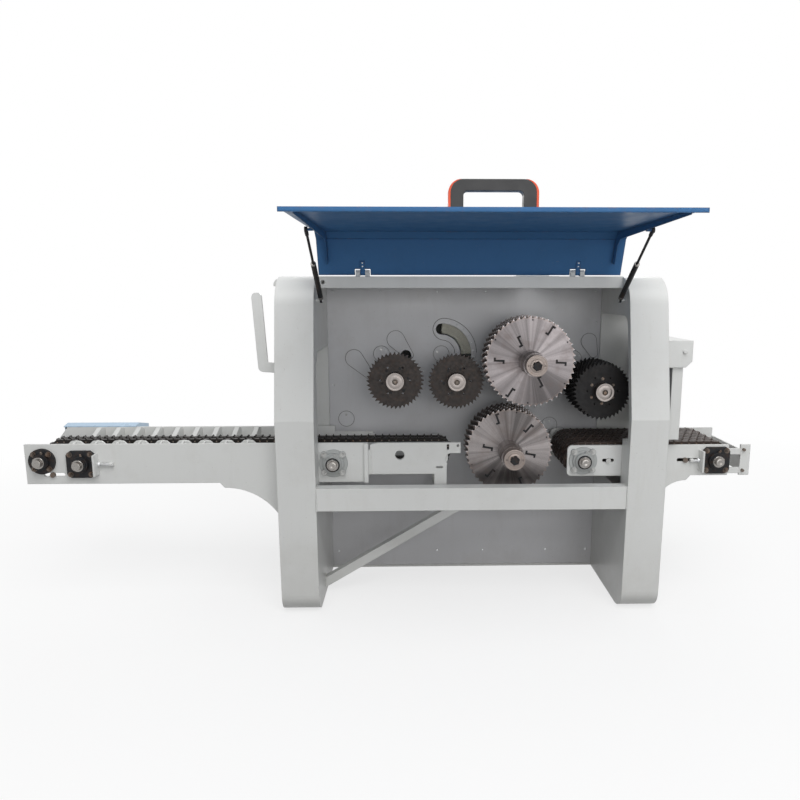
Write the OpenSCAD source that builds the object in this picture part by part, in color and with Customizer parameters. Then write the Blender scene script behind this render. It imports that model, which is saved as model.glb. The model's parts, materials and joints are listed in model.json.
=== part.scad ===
// Twin-arbor multi rip saw for round timber, with its hood open
// Millimetres; X runs along the feed, +Y away from the operator, Z up from the floor

/* [Body] */
// Overall width across both pillars
body_w = 1628; // [1560:2:1760]
// Height of the body
body_h = 1440; // [1430:2:1520]
// Depth of the body from its front bend to its rear edge
body_d = 1150; // [1130:2:1300]
// Width of each pillar
pillar_w = 160; // [140:2:180]
// Sheet thickness of the pillars
pillar_t = 6; // [4:1:9]
// Height of the bend in the pillars' front face
bend_z = 852; // [820:2:900]
// Lean of the upper front face, in degrees
upper_lean = 11; // [8:1:13]
// Set-back of the lower front face at the floor
toe_back = 15; // [8:1:30]
// Radius of the pillars' toe
toe_r = 90; // [70:2:110]
// Radius of the pillars' top front corner
crown_r = 140; // [110:2:160]
// Height of the infeed window's top edge
in_window_top = 1122; // [1090:2:1180]
// Height of the outfeed window's top edge
out_window_top = 1275; // [1240:2:1290]
// Height of both windows' bottom edge
window_bottom = 520; // [500:2:536]
// Height of the front beam's top face
beam_top = 566; // [560:2:590]
// Height of the front beam's section
beam_h = 98; // [80:1:130]
// Depth of the front beam's section
beam_d = 52; // [50:1:74]
// Wall of the front beam and the top beam
beam_t = 5; // [3:1:8]
// Height of the top beam's section
top_beam_h = 49; // [40:1:70]
// Distance from the front bend to the front of the chamber panel
panel_y = 510; // [490:2:530]
// Thickness of the chamber panel
panel_t = 6; // [4:1:10]
// Thickness of the base tray
tray_t = 10; // [8:1:16]

/* [Hood] */
// Width of the hood
hood_w = 1296; // [1270:2:1300]
// Length of the hood's short face, from the hinge to the fold
hood_short = 178; // [160:2:200]
// Length of the hood's long face, from the fold to the lip
hood_long = 770; // [720:2:790]
// Lean of the open short face from the horizontal, in degrees
hood_lean = 69; // [60:1:78]
// Rise of the open long face towards its lip, in degrees
hood_rise = 0.4; // [0:0.1:3]
// Sheet thickness of the hood
hood_t = 3; // [2:0.5:5]
// Depth of the hood's side flanges
flange_h = 34; // [26:1:44]
// Depth of the hood's front lip
lip_h = 15; // [14:1:30]
// Angle through which the hood closes, in degrees
hood_swing = 84; // [60:1:86]
// Length of the handle over its feet
handle_w = 276; // [200:2:320]
// Height of the handle above the hood
handle_h = 86; // [70:1:110]
// Thickness of the handle's bar
handle_t = 34; // [26:1:40]
// Diameter of the hinge pins
hinge_pin_d = 12; // [8:1:16]
// Diameter of a gas strut's cylinder
strut_d = 21; // [18:1:24]
// Diameter of a gas strut's rod
strut_rod_d = 10; // [8:1:12]
// Length of a gas strut's cylinder from its pivot
strut_l = 238; // [220:2:250]

/* [Arbors] */
// Place of the upper arbor along the feed
upper_x = 264; // [250:1:275]
// Height of the upper arbor
upper_z = 1074; // [1066:1:1084]
// Place of the lower arbor along the feed
lower_x = 180; // [170:1:190]
// Height of the lower arbor
lower_z = 675; // [666:1:682]
// Diameter of the upper blades
upper_blade_d = 400; // [360:2:404]
// Diameter of the lower blades
lower_blade_d = 388; // [350:2:392]
// Thickness of a blade at its teeth
blade_t = 4; // [3:0.5:6]
// Number of blades on each arbor
blade_count = 6; // [3:1:6]
// Step from one blade to the next
blade_step = 33; // [28:1:34]
// Distance from the front bend to the front blade
blade_y = 203; // [196:1:212]
// Number of teeth on a blade
blade_teeth = 48; // [36:2:60]
// Diameter of the arbors in their blades
arbor_d = 70; // [60:1:80]
// Diameter of the arbors in their housings
shaft_d = 55; // [45:1:58]
// Diameter of the spindle housings
housing_d = 150; // [120:2:170]
// Outer diameter of the arbor pulleys
arbor_pulley_d = 180; // [150:2:200]
// Outer diameter of the motor pulleys
motor_pulley_d = 220; // [180:2:240]

/* [Feed] */
// Distance from the front bend to the conveyors' front plate
plate_y = 105; // [96:1:112]
// Thickness of the conveyors' side plates
plate_t = 10; // [6:1:12]
// Spacing of the conveyors' side plates, between their outer faces
plate_span = 365; // [350:1:380]
// Height of the infeed plates' top edge
in_plate_top = 739; // [730:1:744]
// Height of the infeed plates' section
in_plate_h = 173; // [160:1:180]
// Reach of the infeed conveyor from the left pillar
in_reach = 1079; // [1050:1:1140]
// Height of the outfeed plates' top edge
out_plate_top = 722; // [716:1:728]
// Height of the outfeed plates' section
out_plate_h = 136; // [126:1:150]
// Reach of the outfeed conveyor from the right pillar
out_reach = 402; // [376:1:446]
// Distance from the infeed's end to its end shaft
in_end_x = 74; // [66:1:90]
// Height of the infeed end shaft
in_end_z = 667; // [662:1:670]
// Distance from the infeed end shaft to the tension shaft
in_mid_x = 162; // [150:1:172]
// Height of the infeed tension shaft
in_mid_z = 654; // [650:1:660]
// Distance from the left pillar's inner face to the infeed inner shaft
in_inner_x = 64; // [62:1:74]
// Height of the infeed inner shaft
in_inner_z = 650; // [644:1:656]
// Distance from the right pillar's inner face to the outfeed inner shaft
out_inner_x = 168; // [160:1:176]
// Distance from the outfeed's end to its end shaft
out_end_x = 152; // [136:1:166]
// Height of both outfeed shafts
out_shaft_z = 655; // [650:1:660]
// Diameter of the feed shafts
feed_shaft_d = 35; // [30:1:36]
// Height of the infeed chain's working face under its spikes
chain_top = 724; // [720:1:728]
// Thickness of the feed chains
chain_t = 18; // [14:1:22]
// Width of one chain strand
strand_w = 24; // [18:1:26]
// Step of the chain spikes
spike_step = 32; // [24:1:40]
// Height of the chain spikes
spike_h = 8; // [5:1:12]
// Number of log cradles on the infeed
cradle_count = 9; // [5:1:9]
// Step from one log cradle to the next
cradle_step = 92; // [80:1:94]

/* [Press rollers] */
// Diameter of the press rollers over their teeth
roller_d = 256; // [230:2:260]
// Number of teeth round a press roller
roller_teeth = 40; // [24:1:48]
// Length of the press arms between their axes
arm_l = 118; // [110:1:122]
// Height of the press arms' pivots
arm_z = 1081; // [1074:1:1090]
// Diameter of the press rollers' shafts
roller_shaft_d = 42; // [34:1:46]

/* [Fits] */
// Radial gap of a running fit
run_gap = 0.05; // [0.02:0.01:0.1]
// Gap between faces that pass each other
pass_gap = 0.5; // [0.4:0.1:1]
// Diameter of the anchor holes
anchor_d = 18; // [14:1:22]
// Diameter of the dust outlet
dust_d = 150; // [100:5:160]

/* [Hidden] */
$fn = 64;

paint = "#d9dad6";
hood_blue = "#5b8fc7";
dark_steel = "#3a3634";
bright_steel = "#b9b9bb";
black_iron = "#2c2f31";
grey_iron = "#c6c9c8";

// Y of a place that lies d behind the front bend
function fy(d) = d - body_d / 2;

outer_x = body_w / 2;
inner_x = outer_x - pillar_w;
sheet_t = 3;
seam = 0.1;

// Pillar outline: the lower face leans by toe_lean, the upper face by upper_lean
toe_lean = atan(toe_back / bend_z);
toe_y = toe_back * (1 - toe_r / bend_z) + toe_r / cos(toe_lean);
crown_z = body_h - crown_r;
crown_y = (crown_z - bend_z) * tan(upper_lean) + crown_r / cos(upper_lean);

// Hood hinge and the open hood's fold, lip and strut stud, in depth and height
hinge_up = 16;
hinge_d = crown_y - 6;
hinge_z = body_h + hinge_up;
hinge_x = hood_w / 2 - 188;
hinge_xs = [-hinge_x, hinge_x];
hinge_l = 60;
knuckle_r = hinge_pin_d / 2 + 6;
function along(a, l) = [-l * cos(a), l * sin(a)];
function inward(a, l) = [-l * sin(a), -l * cos(a)];
hood_fold = along(hood_lean, hood_short);
hood_tip = hood_fold + along(hood_rise, hood_long);
strut_inset = 26;
strut_reach = 345;
strut_top = hood_fold + along(hood_rise, strut_reach) + inward(hood_rise, strut_inset);
strut_low = [-60, -100 - hinge_up];
strut_x = hood_w / 2 - 16;
strut_eye_w = 10;
strut_pin_d = 10;
strut_v = strut_top - strut_low;
strut_open = norm(strut_v);
strut_angle = atan2(strut_v[1], -strut_v[0]);
function turned(p, a) = [p[0] * cos(a) - p[1] * sin(a), p[0] * sin(a) + p[1] * cos(a)];
strut_shut_v = turned(strut_top, hood_swing) - strut_low;
strut_stroke = strut_open - norm(strut_shut_v);
strut_turn = strut_angle - atan2(strut_shut_v[1], -strut_shut_v[0]);
strut_overlap = 45;
echo(stroke = strut_stroke, turn = strut_turn, open = strut_open, angle = strut_angle);

// Arbors, from front to rear, as distances behind the front bend
nut_d = 90;
nut_front = 42;
nut_l = 34;
spacer_d = 102;
stack_end = blade_y + (blade_count - 1) * blade_step + blade_t;
arbor_flange_d = 128;
arbor_flange_l = 16;
housing_front = stack_end + arbor_flange_l + 8;
housing_flange_d = housing_d + 76;
housing_flange_l = 20;
belt_w = 12;
belt_count = 4;
belt_step = 16;
belt_edge = 2;
pulley_l = belt_count * belt_step + 2 * belt_edge;
belt_in = 7;
belt_out = 3;
lower_pulley_y = body_d - 130;
upper_pulley_y = lower_pulley_y - pulley_l - 8;
pulley_gap = 6;

// Motors on the base tray
motor_h = 180;
motor_d = 320;
upper_motor_x = 324 - inner_x;
lower_motor_x = inner_x - 254;
motor_z = tray_t + motor_h;
motor_shaft_d = 42;
motor_gap = 12;
motor_room = 36;
motor_l = upper_pulley_y - motor_gap - panel_y - panel_t - motor_room;

// Conveyors
back_plate_y = plate_y + plate_span - plate_t;
feed_mid_y = plate_y + plate_span / 2;
in_tip = outer_x + in_reach;
out_tip = outer_x + out_reach;
in_end = in_tip - in_end_x;
in_mid = in_end - in_mid_x;
in_inner = inner_x - in_inner_x;
out_inner = inner_x - out_inner_x;
out_end = out_tip - out_end_x;
in_plate_end = 150 - in_inner;
window_gap = 2;
window_back = panel_y - 6;
window_front = plate_y - window_gap;
out_window_front = 34;
shaft_front = plate_y - 52;
bearing_l = 34;
haunch_step = 22;
in_haunch_r = 271;
out_haunch_r = 125;
block_x1 = lower_x - lower_blade_d / 2 - 29;
nose_x = block_x1 - 92;
in_chain_r = chain_top - in_end_z;
out_chain_r = out_plate_top + 8 - out_shaft_z;
in_strands = 2;
in_strand_step = strand_w + 18;
out_strands = 9;
out_strand_step = strand_w + 8;
out_strand_mid = feed_mid_y - 8;

// Press arms: pivot places along the feed and rest angles in degrees
arm_x = [-399, -112, 529];
arm_angle = [-52, -60, -66];
arm_y = panel_y + panel_t + 16;
arm_t = 28;
arm_w = 74;
pivot_d = 40;
slot_side = 5;
slot_ends = [[-58, -4], [-66, 90], [-71, -36]];
roller_t = 10;
roller_y = [blade_y + 35, blade_y + 2.5 * blade_step + blade_t / 2 - roller_t / 2, 172];
third_discs = 8;
third_step = 28;

// Brush strip across the second arm's slot
brush_from = 0;
brush_to = 88;
brush_rows = 3;
brush_row_step = 2.2;
brush_angle_step = 1.25;
brush_wire = 0.7;

// Outlines

// Region between two round ends joined by their outer tangents
module belt_outline(a, ra, b, rb) {
    v = b - a;
    l = norm(v);
    turn = atan2(v[1], v[0]);
    lean = acos((ra - rb) / l);
    translate(a) circle(ra);
    translate(b) circle(rb);
    translate(a) rotate(turn) polygon([
        [ra * cos(lean), ra * sin(lean)],
        [ra * cos(lean), -ra * sin(lean)],
        [l + rb * cos(lean), -rb * sin(lean)],
        [l + rb * cos(lean), rb * sin(lean)]
    ]);
}

// The same region with its round ends drawn in straight steps
module stepped_outline(a, ra, b, rb) {
    v = b - a;
    turn = atan2(v[1], v[0]);
    lean = acos((ra - rb) / norm(v));
    steps = 18;
    polygon([
        for (i = [0 : steps]) a + ra * turned([1, 0], turn + lean + i * (360 - 2 * lean) / steps),
        for (i = [0 : steps]) b + rb * turned([1, 0], turn - lean + i * 2 * lean / steps)
    ]);
}

// Place at a distance s along a round-ended loop, pushed outwards by out
function loop_at(s, x0, x1, z, r, out) =
    let (run = x1 - x0, bend = PI * r, u = s % (2 * (run + bend)), q = r + out)
    u < run ? [x0 + u, z + q]
    : u < run + bend ? [x1 + q * sin((u - run) / r * 180 / PI), z + q * cos((u - run) / r * 180 / PI)]
    : u < 2 * run + bend ? [x1 - (u - run - bend), z - q]
    : [x0 - q * sin((u - 2 * run - bend) / r * 180 / PI), z - q * cos((u - 2 * run - bend) / r * 180 / PI)];

// Side outline of a spiked chain loop of outer radius r
module chain_outline(x0, x1, z, r, spike, phase) {
    total = 2 * (x1 - x0) + 2 * PI * r;
    count = floor(total / spike_step);
    step = total / count;
    difference() {
        polygon([for (i = [0 : count - 1], k = [[0, 0], [0.36, 0], [0.5, spike], [0.64, 0], [0.82, 0]])
            loop_at((i + k[0] + phase) * step, x0, x1, z, r, k[1])]);
        belt_outline([x0, z], r - chain_t, [x1, z], r - chain_t);
    }
}

// Saw-toothed disc outline
module toothed(d, count, depth) {
    step = 360 / count;
    polygon([for (i = [0 : count - 1], k = [[0, 0], [0.62, depth], [0.8, depth]])
        (d / 2 - k[1]) * [cos((i + k[0]) * step), sin((i + k[0]) * step)]]);
}

// Outline in the X-Z plane given a thickness t from depth d towards the rear
module upright(d, t) {
    translate([0, fy(d) + t, 0]) rotate([90, 0, 0]) linear_extrude(t) children();
}

// Outline in depth and height given a width from x0 to x1
module across(x0, x1) {
    translate([x0, fy(0), 0]) rotate([90, 0, 90]) linear_extrude(x1 - x0) children();
}

// Cylinder along Y from depth d
module rod_y(x, z, d, dia, l) {
    translate([x, fy(d), z]) rotate([-90, 0, 0]) cylinder(d = dia, h = l);
}

// Cylinder along X
module rod_x(x0, x1, d, z, dia) {
    translate([x0, fy(d), z]) rotate([0, 90, 0]) cylinder(d = dia, h = x1 - x0);
}

// Row of points that bends a sheet of thickness t along a path, on its right-hand side
function sheet_side(path, t) = [for (i = [0 : len(path) - 1])
    let (a = path[max(i - 1, 0)], p = path[i], b = path[min(i + 1, len(path) - 1)],
         u = i == 0 ? (b - p) / norm(b - p) : (p - a) / norm(p - a),
         v = i == len(path) - 1 ? u : (b - p) / norm(b - p),
         n = [u[1] + v[1], -u[0] - v[0]])
    p + t * 2 * n / (n * n)];
module bent_sheet(path, t) {
    side = sheet_side(path, t);
    polygon(concat(path, [for (i = [len(path) - 1 : -1 : 0]) side[i]]));
}

// Body

// Side outline of a pillar, drawn t inside its skin and open below the floor when drop is set
module pillar_outline(t, drop) {
    join = bend_z + t * (1 / cos(toe_lean) - 1 / cos(upper_lean)) / (tan(upper_lean) + tan(toe_lean));
    join_y = (join - bend_z) * tan(upper_lean) + t / cos(upper_lean);
    translate([toe_y, toe_r]) circle(toe_r - t);
    translate([crown_y, crown_z]) circle(crown_r - t);
    polygon([
        [toe_y, t - drop], [body_d - t, t - drop], [body_d - t, body_h - t], [crown_y, body_h - t],
        [crown_y - (crown_r - t) * cos(upper_lean), crown_z + (crown_r - t) * sin(upper_lean)],
        [join_y, join],
        [toe_y - (toe_r - t) * cos(toe_lean), toe_r - (toe_r - t) * sin(toe_lean)],
        [toe_y, toe_r]
    ]);
}

// Window outline with one cut or rounded top front corner, grown by g all round
module in_window(g) {
    cut = 60;
    polygon([
        [window_front - g, window_bottom - g], [window_back + g, window_bottom - g],
        [window_back + g, in_window_top + g], [window_front + cut, in_window_top + g],
        [window_front - g, in_window_top - cut]
    ]);
}
// Front edge of the outfeed window, which follows the pillar's face
function out_edge(z) = out_window_front + max(0, z - bend_z) * tan(upper_lean);
module out_window(g) {
    round = 55;
    low = out_plate_top + 30;
    corner_z = out_window_top - round;
    corner_y = out_edge(corner_z) + round / cos(upper_lean);
    translate([corner_y, corner_z]) circle(round + g);
    polygon([
        [window_front - g, window_bottom - g], [window_back + g, window_bottom - g],
        [window_back + g, out_window_top + g], [corner_y, out_window_top + g],
        [corner_y - (round + g) * cos(upper_lean), corner_z + (round + g) * sin(upper_lean)],
        [out_window_front - g, bend_z], [out_window_front - g, low - g], [window_front - g, low - g]
    ]);
}

// Hollow pillar between two faces; the child is its window outline
module pillar(x0, x1, stud_x0, stud_x1) {
    difference() {
        across(x0, x1) difference() {
            pillar_outline(0, 0);
            children(0);
        }
        across(x0 + pillar_t, x1 - pillar_t) difference() {
            pillar_outline(pillar_t, 2 * pillar_t);
            children(1);
        }
    }
    rod_x(stud_x0, stud_x1, hinge_d + strut_low[0], hinge_z + strut_low[1], strut_pin_d);
}
module left_pillar() {
    color(paint) pillar(-outer_x, -inner_x, -inner_x, -strut_x + strut_eye_w / 2) {
        in_window(0);
        in_window(pillar_t);
    }
}
module right_pillar() {
    color(paint) {
        pillar(inner_x, outer_x, strut_x - strut_eye_w / 2, inner_x) {
            out_window(0);
            out_window(pillar_t);
        }
        door_ears();
    }
}
module front_beam() {
    front = 6;
    color(paint) across(-inner_x, inner_x) difference() {
        translate([front, beam_top - beam_h]) square([beam_d, beam_h]);
        translate([front + beam_t, beam_top - beam_h + beam_t])
            square([beam_d - 2 * beam_t, beam_h - 2 * beam_t]);
    }
}

// Top beam with the roof sheet behind it and the fixed half of each hood hinge
beam_front = hinge_d - 24;
top_beam_d = 50;
module top_beam() {
    roof_end = body_d - 40;
    hole_d = 16;
    color(paint) difference() {
        across(-inner_x, inner_x) {
            difference() {
                translate([beam_front, body_h - top_beam_h]) square([top_beam_d, top_beam_h]);
                translate([beam_front + beam_t, body_h - top_beam_h + beam_t])
                    square([top_beam_d - 2 * beam_t, top_beam_h - 2 * beam_t]);
            }
            translate([beam_front + top_beam_d, body_h - sheet_t])
                square([roof_end - beam_front - top_beam_d, sheet_t]);
        }
        rod_y(-inner_x + 26, body_h - top_beam_h / 2, beam_front - 1, hole_d, beam_t + 2);
        translate([spigot_x, fy(spigot_y), body_h - 10]) cylinder(d = dust_d - 4, h = 20);
    }
    color(bright_steel) for (x = hinge_xs, side = [-1, 1]) hinge_ear(x, side);
}
// One outer ear of a hinge, with half of the pin
module hinge_ear(x, side) {
    ear_w = hinge_l / 3;
    x0 = x + side * (ear_w / 2 + pass_gap);
    x1 = x + side * hinge_l / 2;
    rod_x(min(x0, x1), max(x0, x1), hinge_d, hinge_z, 2 * knuckle_r);
    across(min(x0, x1), max(x0, x1)) translate([hinge_d - knuckle_r, body_h])
        square([2 * knuckle_r, hinge_up]);
    rod_x(min(x, x1), max(x, x1), hinge_d, hinge_z, hinge_pin_d);
}

// Curved slot outline around a pivot, drawn in straight steps
module arc_slot(centre, r, w, from, to) {
    steps = 20;
    ends = 10;
    function spoke(l, a) = l * turned([1, 0], a);
    polygon([
        for (i = [0 : steps]) centre + spoke(r + w / 2, from + i * (to - from) / steps),
        for (i = [1 : ends - 1]) centre + spoke(r, to) + spoke(w / 2, to + i * 180 / ends),
        for (i = [0 : steps]) centre + spoke(r - w / 2, to - i * (to - from) / steps),
        for (i = [1 : ends - 1]) centre + spoke(r, from) + spoke(w / 2, from + 180 + i * 180 / ends)
    ]);
}
slot_w = roller_shaft_d + 2 * slot_side;
// Slot in which a press roller's shaft rises and falls
module press_slot(i) {
    arc_slot([arm_x[i], arm_zs[i]], arm_l, slot_w, slot_ends[i][0], slot_ends[i][1]);
}
module chamber_panel() {
    panel_bottom = tray_t;
    color(paint) {
        upright(panel_y, panel_t) difference() {
            translate([-inner_x, panel_bottom])
                square([2 * inner_x, body_h - sheet_t - panel_bottom]);
            for (p = [[upper_x, upper_z], [lower_x, lower_z]])
                translate(p) circle(d = housing_d + 2 * pass_gap);
            for (i = [0 : 2]) press_slot(i);
            translate([out_inner, out_shaft_z]) circle(d = feed_shaft_d + 10);
        }
        for (i = [0 : 2])
            rod_y(arm_x[i], arm_zs[i], panel_y + panel_t - 1, pivot_d, arm_y + arm_t - panel_y - panel_t + 1);
    }
}

// Thin teardrop plates and round caps on the front of the chamber panel
cover_t = 2;
plug_spots = [[81 - inner_x, 765], [inner_x - 234, 730]];
module panel_covers() {
    cap_d = 76;
    frame_w = 26;
    color(paint) upright(panel_y - cover_t, cover_t) difference() {
        union() {
            for (p = concat([for (i = [0 : 2]) [arm_x[i], arm_zs[i]]], plug_spots))
                translate(p) circle(d = cap_d);
            belt_outline([124 - inner_x, 1060], 42, [202 - inner_x, 975], 20);
            belt_outline([-330, 1150], 42, [-268, 1075], 22);
            belt_outline([inner_x - 54, 1140], 38, [inner_x - 30, 1080], 20);
            arc_slot([arm_x[1], arm_z], arm_l, slot_w + 2 * frame_w, 2, 84);
        }
        for (i = [0 : 2]) press_slot(i);
    }
}

// Brush strip: radial strands across the slot, held in an arc of backing behind the panel
brush_r = arm_l + slot_w / 2;
brush_y = panel_y + panel_t + seam;
strand_l = slot_w - 4;
strand_turns = floor((brush_to - brush_from) / brush_angle_step);
// Root and tip corners of one three-sided strand, at an angle and a row
function strand_points(a, row) =
    let (y = brush_y + 1.2 + row * brush_row_step, half = brush_wire / brush_r * 180 / PI)
    [for (ring = [[brush_r + 4, 1], [brush_r - strand_l + 3 * (row % 2), 0.55]],
          k = [[-1, 0], [1, 0], [0, 1]])
        let (b = a + k[0] * half * ring[1] * 0.6, d = y + k[1] * brush_wire * ring[1])
        [arm_x[1] + ring[0] * cos(b), fy(d), arm_z + ring[0] * sin(b)]];
function strand_faces(n) =
    let (o = 6 * n)
    [[o, o + 1, o + 2], [o + 3, o + 5, o + 4],
     [o, o + 4, o + 1], [o, o + 3, o + 4], [o + 1, o + 5, o + 2], [o + 1, o + 4, o + 5],
     [o + 2, o + 3, o], [o + 2, o + 5, o + 3]];
module brush_seal() {
    strands = [for (i = [0 : strand_turns - 1], row = [0 : brush_rows - 1])
        [brush_from + (i + 0.25 + 0.5 * (row % 2)) * brush_angle_step, row]];
    backs = 16;
    back_step = (brush_to - brush_from) / backs;
    color("#6b5a48") {
        polyhedron(
            points = [for (s = strands) each strand_points(s[0], s[1])],
            faces = [for (n = [0 : len(strands) - 1]) each strand_faces(n)]
        );
        for (i = [0 : backs - 1]) hull() for (k = [0, 1])
            translate([arm_x[1], fy(brush_y), arm_z]) rotate([0, -brush_from - (i + k) * back_step, 0])
                translate([brush_r, 0, -0.05]) cube([9, brush_rows * brush_row_step + 1, 0.1]);
    }
}

// Diagonal brace tube and the rail behind the front beam that it meets
tube = 40;
rail_z = beam_top - beam_h - tube - 6;
rail_y = 225;
module brace_frame() {
    foot_z = 50;
    top_x = -inner_x + 560;
    slope = atan2(rail_z - foot_z - tube, top_x + inner_x);
    color(paint) {
        across(-inner_x, inner_x) translate([rail_y, rail_z]) square([tube, tube]);
        intersection() {
            translate([-inner_x, fy(rail_y), foot_z]) rotate([0, -slope, 0])
                translate([-tube, 0, -tube / 2]) cube([2 * inner_x, tube, tube]);
            translate([-inner_x, fy(rail_y), 0]) cube([2 * inner_x, tube, rail_z]);
        }
    }
}
anchor_x = inner_x - 134;
anchor_y = [body_d / 2 + 60, body_d - 80];
module base_tray() {
    rim = 40;
    tray_front = panel_y - 4;
    color(paint) difference() {
        union() {
            translate([-inner_x, fy(tray_front), 0]) cube([2 * inner_x, body_d - tray_front, tray_t]);
            translate([-inner_x, fy(body_d - rim - tray_t), 0]) cube([2 * inner_x, tray_t, rim]);
        }
        for (x = [-anchor_x, anchor_x], y = anchor_y)
            translate([x, fy(y), -1]) cylinder(d = anchor_d, h = tray_t + 2);
    }
}

// Conveyors

// Side plate outline with a round-cut haunch against the pillar at wall_x; the pillar cuts its arc short
module plate_outline(x0, x1, top, h, wall_x, r, short) {
    side = sign(wall_x);
    ramp = 24;
    mid = wall_x + side * (r - short);
    far = mid + side * ramp;
    low = top - h - haunch_step;
    translate([x0, top - h]) square([x1 - x0, h]);
    difference() {
        translate([min(far, wall_x), low - r]) square([r - short + ramp, r + haunch_step + 1]);
        translate([mid, low - r]) circle(r);
        translate([min(far, mid), low - r]) square([ramp, r]);
        polygon([[far + side, low - 1], [far + side, top - h + 3], [far, top - h + 3],
                 [mid + 2 * side, low], [mid + 2 * side, low - 1]]);
    }
}
module slot_outline(x, z, l, h) {
    belt_outline([x - l / 2 + h / 2, z], h / 2, [x + l / 2 - h / 2, z], h / 2);
}
in_slot_x = 43 - in_end;
in_slot_z = in_end_z - 60;
slot_h = 15;
out_slot_xs = [out_inner + 110, outer_x + 130];
out_slot_l = [52, 96];
module infeed_side(d) {
    upright(d, plate_t) difference() {
        plate_outline(-in_tip, in_plate_end, in_plate_top, in_plate_h, -outer_x, in_haunch_r, 28);
        slot_outline(in_slot_x, in_slot_z, 90, slot_h);
        for (s = [[-in_end, in_end_z], [-in_mid, in_mid_z], [-in_inner, in_inner_z]])
            translate(s) circle(d = feed_shaft_d + 8);
    }
}
module infeed_front_plate() {
    strip_w = 18;
    strip_t = 14;
    color(paint) {
        infeed_side(plate_y);
        upright(plate_y - strip_t, strip_t) translate([in_plate_end - strip_w, in_plate_top - in_plate_h])
            square([strip_w, in_plate_h]);
    }
}
module infeed_back_plate() {
    step_x = 30 - inner_x;
    step_z = in_inner_z + 62;
    slant = [55, 72];
    plate_low = in_plate_top - in_plate_h;
    color(paint) difference() {
        union() {
            infeed_side(back_plate_y);
            upright(back_plate_y, plate_t) polygon([
                [1 - in_tip, plate_low], [1 - in_tip, in_plate_top], [-in_tip, in_plate_top],
                [-in_tip - slant[0], in_plate_top - slant[1]], [-in_tip - slant[0], plate_low]]);
        }
        translate([step_x, fy(back_plate_y) - 1, step_z])
            cube([in_plate_end - step_x + 1, plate_t + 2, in_plate_top - step_z + 1]);
    }
}
out_plate_start = out_inner - 68;
module outfeed_side(d, end) {
    corner = 20;
    upright(d, plate_t) difference() {
        union() {
            plate_outline(out_plate_start + corner, end, out_plate_top, out_plate_h, outer_x, out_haunch_r, 0);
            for (z = [out_plate_top - corner, out_plate_top - out_plate_h + corner])
                translate([out_plate_start + corner, z]) circle(corner);
            translate([out_plate_start, out_plate_top - out_plate_h + corner])
                square([corner, out_plate_h - 2 * corner]);
        }
        for (i = [0, 1]) slot_outline(out_slot_xs[i], out_shaft_z, out_slot_l[i], slot_h);
        for (x = [out_inner, out_end]) translate([x, out_shaft_z]) circle(d = feed_shaft_d + 8);
    }
}
cap_w = 42;
out_plate_stop = out_tip - 94;
module outfeed_front_plate() {
    rail_h = 26;
    color(paint) {
        outfeed_side(plate_y, out_plate_stop);
        for (z = [out_plate_top - 18 - rail_h, out_plate_top - out_plate_h + 8])
            upright(plate_y, plate_t) translate([out_plate_stop - 1, z])
                square([out_tip - cap_w - out_plate_stop + 1, rail_h]);
    }
}
module outfeed_back_plate() {
    color(paint) outfeed_side(back_plate_y, out_tip - 6);
}
module outfeed_end_cap() {
    color(paint) {
        upright(plate_y, plate_t) translate([out_tip - cap_w, out_plate_top - out_plate_h])
            square([cap_w, out_plate_h]);
        upright(plate_y + plate_t, plate_span - 2 * plate_t)
            translate([out_tip - 6, out_plate_top - out_plate_h]) square([6, out_plate_h - 40]);
    }
}

// Cross tubes and the slide rails that carry the chains
tie = 30;
cradle_x = 119 - in_end;
in_tie_xs = concat([for (i = [1.4, 4.4, 7.4]) cradle_x + i * cradle_step - tie / 2], [in_plate_end - 60]);
out_tie_xs = [out_inner + 134, out_end - 164];
module conveyor_ties() {
    rail_h = 16;
    rail_w = in_strand_step * in_strands - 16;
    rail_in = 20;
    tie_l = plate_span - 2 * plate_t;
    in_rail_top = chain_top - chain_t - pass_gap;
    out_rail_top = out_shaft_z + out_chain_r - chain_t - pass_gap;
    in_tie_z = in_rail_top - rail_h - tie;
    out_tie_z = out_rail_top - rail_h - tie;
    color(paint) {
        for (x = in_tie_xs) translate([x, fy(plate_y + plate_t), in_tie_z]) cube([tie, tie_l, tie]);
        translate([in_tie_xs[0], fy(feed_mid_y) - rail_w / 2, in_tie_z + tie])
            cube([in_tie_xs[3] + tie - in_tie_xs[0], rail_w, rail_h]);
        for (x = out_tie_xs) translate([x, fy(plate_y + plate_t), out_tie_z]) cube([tie, tie_l, tie]);
        translate([out_tie_xs[0], fy(plate_y + plate_t + rail_in), out_tie_z + tie])
            cube([out_tie_xs[1] + tie - out_tie_xs[0], tie_l - 2 * rail_in, rail_h]);
    }
}

// Row of log cradles: at each step a lugged wing on the front plate and a broad one on the back plate
module log_cradles() {
    wing_t = 8;
    back_wing_t = 22;
    back_shift = 36;
    wing_in = plate_span / 2 - 62;
    low = 70;
    peak = 34;
    rise = 5;
    lug_t = 6;
    wing = [[0, in_plate_top - low], [0, in_plate_top - 4], [peak, in_plate_top + rise],
            [wing_in - plate_t, in_plate_top - 28], [wing_in - plate_t, in_plate_top - low]];
    lug = [[-33, -30], [-33, -16], [-20, -4], [0, -1], [20, -4], [33, -16], [33, -30]];
    color(paint) for (i = [0 : cradle_count - 1]) {
        x = cradle_x + i * cradle_step;
        across(x, x + wing_t) translate([plate_y + plate_t, 0]) polygon(wing);
        upright(plate_y + plate_t + peak - lug_t / 2, lug_t)
            translate([x + wing_t / 2, in_plate_top + rise + 3]) polygon(lug);
        across(x - back_shift, x - back_shift + back_wing_t) translate([back_plate_y, 0])
            mirror([1, 0]) polygon(wing);
    }
}
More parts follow.
